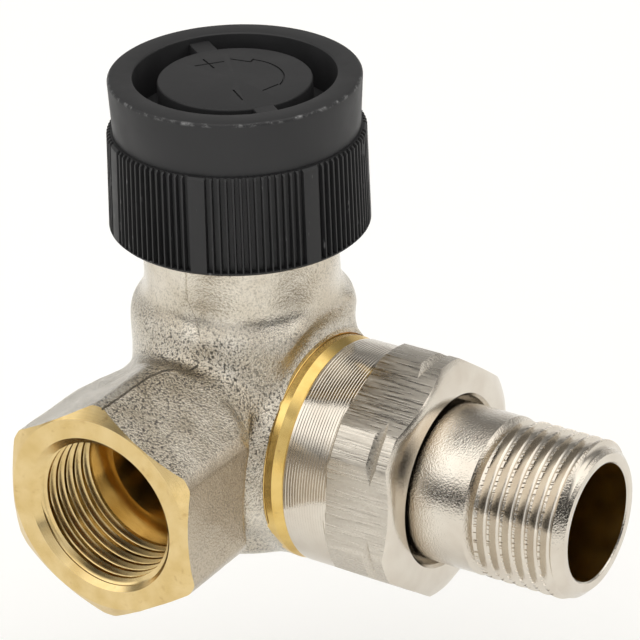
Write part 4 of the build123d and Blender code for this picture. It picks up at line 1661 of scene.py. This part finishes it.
@dataclass
class Tailpiece(Maker):
    """The tailpiece: sealing nose, collar, tube and nicked outlet thread."""

    nose: float = 21.0
    nose_r: float = 8.8
    nose_length: float = 2.2
    bore_r: float = 7.85
    bore_stock: float = 0.3
    collar_start: float = 23.6
    collar_end: float = 26.95
    collar_r: float = 12.6
    groove_x: float = 39.9
    groove_ramp: float = 0.8
    groove_r: float = 9.5
    thread_x: float = 40.6
    thread_lead: float = 0.35
    thread_facets: int = 120
    mouth_depth: float = 0.35
    end: float = 52.8
    chamfer: float = 1.4
    lip: float = 0.12
    mouth: float = 0.2
    ring_x: float = 22.56
    ring_at: float = 9.44
    ring_wire: float = 0.78
    ring_turn: Span = (168.5, 461.5)
    facets: int = 200
    lug_low: float = 6.55
    lug_high: float = 8.5
    lug_half: float = 1.2
    lug_span: Span = (22.0, 30.0)
    lug_edge: float = 0.25
    nicks: int = 110
    nick_kinds: tuple[Span, ...] = ((0.12, 4.0), (0.19, 8.0), (0.26, 12.0))
    nick_slope: float = 0.85
    nick_half: float = 0.03
    nick_over: float = 0.5
    nick_run: float = 0.3
    nick_scatter: float = 0.8
    seed: int = 11

    def tube(self) -> Piece:
        """Turn the tube with nose, collar and thread blank.

        Returns:
            The tube.
        """
        lip, mouth, inner = self.lip, self.mouth, self.bore_r - self.bore_stock
        outline = [
            (self.nose, self.nose_r),
            *arc(self.ring_x, self.ring_at, self.ring_wire, *self.ring_turn, 14),
            (self.nose + self.nose_length, self.nose_r + self.nose_length),
            (self.collar_start, self.nose_r + self.nose_length),
            (self.collar_start, self.collar_r),
            (self.collar_end, self.collar_r),
            (self.collar_end, PIPE_R),
            (self.groove_x - self.groove_ramp, PIPE_R),
            (self.groove_x, self.groove_r),
            (self.thread_x, self.groove_r),
            (self.thread_x, PIPE_R),
            (self.end - self.chamfer, PIPE_R),
            *arc(self.end - lip, PIPE_R - self.chamfer - lip, lip, 60, 0, 2),
            *arc(self.end - mouth, self.bore_r + mouth, mouth, 0, -60, 3),
            (self.end - self.mouth_depth, inner),
            (self.nose, inner),
        ]
        metal = self.finishes.tube
        return turned("tailpiece_plated", TurnAxis.OUTLET, outline, metal, self.facets, ring=True)

    def nick(self, depth: float, lean: float) -> Piece:
        """Model one nick across the thread's crests.

        Args:
            depth: Depth of the nick.
            lean: Its lean from the axis, in degrees.

        Returns:
            The nick as a solid, about +Z.
        """
        half, run = self.nick_half, self.nick_run
        low = (PIPE_R - depth, -half, self.thread_x - run)
        high = (PIPE_R + self.nick_over, half, self.end - self.chamfer + run)
        spread = 1 + self.nick_slope * (depth + self.nick_over) / (2 * half)
        tool = flared("nick", low, high, spread, self.finishes.turned)
        middle = Matrix.Translation((0.0, 0.0, (low[2] + high[2]) / 2))
        turn = Matrix.Rotation(math.radians(lean), 4, "X")
        tool.matrix_world = middle @ turn @ middle.inverted()
        settle(tool)
        return tool

    def nick_crests(self, tail: Piece) -> None:
        """Nick the crests unevenly all round.

        Args:
            tail: The tailpiece.
        """
        chance = random.Random(self.seed)
        step = 360 / self.nicks
        turns: list[list[float]] = [[] for _ in self.nick_kinds]
        for index in range(self.nicks):
            chance.choice(turns).append(step * (index + self.nick_scatter * chance.random()))
        for (depth, lean), places in zip(self.nick_kinds, turns):
            tools = copied_round(self.nick(depth, lean), TurnAxis.OUTLET, places)
            combine(tail, tools, Cut.TAKE_AWAY)

    def lugs(self) -> Piece:
        """Model the two lugs that a key turns the tailpiece by.

        Returns:
            Both lugs, in place.
        """
        start, end = self.lug_span
        low = (self.lug_low, -self.lug_half, start)
        high = (self.lug_high, self.lug_half, end)
        lug = block("lug", low, high, self.finishes.tube)
        bevel(lug, lambda a, b: max(a.x, b.x) < self.lug_low + 0.1, self.lug_edge, 2)
        return copied_round(lug, TurnAxis.OUTLET, (0.0, 180.0))

    def build(self) -> None:
        """Model, nick, bore, thread and seat the tailpiece."""
        tail = self.tube()
        self.nick_crests(tail)
        bore = [(self.nose - 1.0, self.bore_r), (self.end - self.mouth, self.bore_r)]
        gold = self.finishes.outlet_brass
        combine(tail, turned("drill", TurnAxis.OUTLET, bore, gold, self.facets), Cut.TAKE_AWAY)
        combine(tail, self.lugs(), Cut.ADD)
        die = tooth(OUTER_TOOTH, self.thread_x + self.thread_lead, PIPE_R)
        turns = (self.end + 1.0 - self.thread_x) / PIPE_PITCH
        metal = self.finishes.turned
        facets = self.thread_facets
        thread = wound("die", TurnAxis.OUTLET, die, PIPE_PITCH, turns, metal, steps=facets)
        combine(tail, thread, Cut.TAKE_AWAY)
        seat(tail, "tail", "tailpiece")


@dataclass
class Cartridge(Maker):
    """The CAD nodes of the cartridge, which keep their shapes and get finishes."""

    brass: tuple[str, ...] = (
        "insert_housing", "guide_bush", "gland_nut", "disc_holder", "disc_screw"
    )
    stainless: tuple[str, ...] = ("gland_washer", "actuating_pin", "valve_stem", "spring_retainer")
    spring: tuple[str, ...] = ("retaining_clip",)
    rubber: tuple[str, ...] = (
        "insert_o_ring",
        "gland_o_ring",
        "pin_o_ring_lower",
        "pin_o_ring_upper",
        "disc_seal",
        "tailpiece_o_ring",
    )
    white: tuple[str, ...] = ("gland_bush",)

    def build(self) -> None:
        """Give each node its finish."""
        groups = (
            (self.brass, self.finishes.spindle_brass),
            (self.stainless, self.finishes.stainless),
            (self.spring, self.finishes.spring),
            (self.rubber, self.finishes.rubber),
            (self.white, self.finishes.white),
        )
        for nodes, finish in groups:
            for node in nodes:
                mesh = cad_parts[node].data
                mesh.materials.clear()
                mesh.materials.append(finish)
                LOG.info("%s wears %s", node, finish.name)


@dataclass
class ReturnSpring(Maker):
    """The coil that lifts the spindle. The real coil shortens as the cap is screwed down; this one
    is wound at one length.
    """

    radius: float = 4.4
    wire_r: float = 0.45
    turns: float = 5.5
    travel: float = 2.5
    facets: int = 10
    steps: int = 40
    smooth: float = 60.0

    def build(self) -> None:
        """Wind and seat the coil."""
        low, high = (Vector(corner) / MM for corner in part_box("return_spring"))
        start = low.z + self.wire_r
        pitch = (high.z - self.wire_r - start) / self.turns
        section = arc(start, self.radius, self.wire_r, 0, 360, self.facets)[:-1]
        coil = wound(
            "return_spring_coil",
            TurnAxis.SPINDLE,
            section,
            pitch,
            self.turns,
            self.finishes.spring,
            steps=self.steps,
        )
        seat(coil, "valve", "return_spring", self.smooth)
        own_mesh(coil)


@dataclass
class Studio:
    """Camera, pale floor and the soft light round the valve."""

    azimuth: float = 33.212
    elevation: float = 27.188
    roll: float = -1.591
    lens: float = 202.587
    sensor: float = 36.0
    clip: Span = (0.01, 20.0)
    distance: float = 476.94
    shift_right: float = 9.904
    shift_up: float = 10.857
    floor_z: float = -0.05
    floor_size: float = 6.0
    floor_colour: Colour = (0.9, 0.9, 0.89, 1.0)
    floor_glow: Colour = (1.0, 0.99, 0.97, 1.0)
    floor_glow_strength: float = 0.14
    # Strength of the tent by angle in degrees, from the front over the top to the back.
    tent: tuple[Span, ...] = (
        (-8, 0.75),
        (2, 0.05),
        (32, 0.04),
        (46, 0.5),
        (62, 1.3),
        (104, 1.3),
        (117, 0.55),
        (127, 0.26),
        (140, 0.22),
        (154, 0.18),
        (166, 0.55),
    )
    tent_tint: Triple = (1.0, 0.985, 0.96)
    tent_strength: float = 1.25
    lamp_way: Triple = (0.3, -0.9, 0.32)
    lamp_reach: float = 0.9
    lamp_size: float = 0.9
    lamp_watts: float = 2.0

    def axes(self) -> tuple[Vector, Vector, Vector]:
        """Work out the camera's level axes.

        Returns:
            Right, up and backward.
        """
        turn, rise = math.radians(self.azimuth), math.radians(self.elevation)
        back = Vector(
            (math.sin(turn) * math.cos(rise), -math.cos(turn) * math.cos(rise), math.sin(rise))
        )
        right = Vector((math.cos(turn), math.sin(turn), 0.0))
        return right, back.cross(right), back

    def camera(self) -> None:
        """Set the camera at the photograph's place and lens."""
        right, up, back = self.axes()
        lean = math.radians(self.roll)
        across = right * math.cos(lean) + up * math.sin(lean)
        upward = up * math.cos(lean) - right * math.sin(lean)
        aim = right * self.shift_right + up * self.shift_up + Vector((0.0, SPINDLE_Y, 0.0))
        eye = (aim + back * self.distance) * MM
        data = bpy.data.cameras.new("photo_camera")
        data.lens = self.lens
        data.sensor_width = self.sensor
        data.clip_start, data.clip_end = self.clip
        camera = bpy.data.objects.new("photo_camera", data)
        bpy.context.scene.collection.objects.link(camera)
        stand = Matrix((across, upward, back)).transposed().to_4x4()
        camera.matrix_world = Matrix.Translation(eye) @ stand
        bpy.context.scene.camera = camera

    def floor(self) -> None:
        """Lay the pale floor."""
        material = bpy.data.materials.new("floor_pale")
        NodeBench(material).shade(
            {
                "Base Color": self.floor_colour,
                "Roughness": 0.8,
                "Specular IOR Level": 0.1,
                "Emission Color": self.floor_glow,
                "Emission Strength": self.floor_glow_strength,
            }
        )
        deselect_all()
        bpy.ops.mesh.primitive_plane_add(size=self.floor_size, location=(0.0, 0.0, self.floor_z))
        floor = fresh("floor", material)

    def light(self) -> None:
        """Surround the valve with a soft tent, bright overhead and darker before and behind."""
        world = bpy.data.worlds.new("tent")
        bpy.context.scene.world = world
        bench = NodeBench(world)
        right, _, _ = self.axes()
        front = Vector((right.y, -right.x, 0.0))
        spot = bench.add("ShaderNodeTexCoord").outputs["Generated"]
        height = bench.add("ShaderNodeSeparateXYZ", {0: spot}).outputs["Z"]
        angle = bench.maths("ARCTAN2", height, bench.measure("DOT_PRODUCT", spot, front))
        ramp = bench.add("ShaderNodeValToRGB", {"Fac": bench.level(angle, -math.pi, math.pi)})
        points = ramp.color_ramp.elements
        while len(points) < len(self.tent):
            points.new(0.5)
        for point, (degrees, strength) in zip(points, self.tent):
            point.position = 0.5 + degrees / 360
            point.color = (*(strength * share for share in self.tent_tint), 1.0)
        inputs = {"Color": ramp.outputs["Color"], "Strength": self.tent_strength}
        soft = bench.add("ShaderNodeBackground", inputs)
        plain = bench.add("ShaderNodeBackground", {"Color": (1.0, 1.0, 1.0, 1.0)})
        seen = bench.add("ShaderNodeLightPath").outputs["Is Camera Ray"]
        inputs = {"Fac": seen, 1: soft.outputs[0], 2: plain.outputs[0]}
        mix = bench.add("ShaderNodeMixShader", inputs)
        bench.add("ShaderNodeOutputWorld", {"Surface": mix.outputs[0]})

    def lamp(self) -> None:
        """Hang a soft lamp before the inlet, so that light reaches its thread."""
        data = bpy.data.lights.new("inlet_lamp", "AREA")
        data.size = self.lamp_size
        data.energy = self.lamp_watts
        lamp = bpy.data.objects.new("inlet_lamp", data)
        bpy.context.scene.collection.objects.link(lamp)
        away = Vector(self.lamp_way).normalized()
        stand = away.to_track_quat("Z", "Y").to_matrix().to_4x4()
        lamp.matrix_world = Matrix.Translation(away * self.lamp_reach) @ stand

    def set_up(self) -> None:
        """Set camera, floor, light and the plain view of colours."""
        self.camera()
        self.floor()
        self.light()
        self.lamp()
        bpy.context.scene.view_settings.view_transform = "Standard"
        LOG.info("studio set up")


def keep_sizes() -> None:
    """Update the view layer."""
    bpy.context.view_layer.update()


def main() -> None:
    """Build the valve's pieces in order, dress the rest and set up the studio."""
    logging.basicConfig(level=logging.INFO, format="%(name)s: %(message)s")
    finishes = Finishes()
    for maker in (ForgedBody, ProtectionCap, UnionNut, Tailpiece, Cartridge, ReturnSpring):
        maker(finishes).build()
    Studio().set_up()
    keep_sizes()


if __name__ == "__main__":
    main()
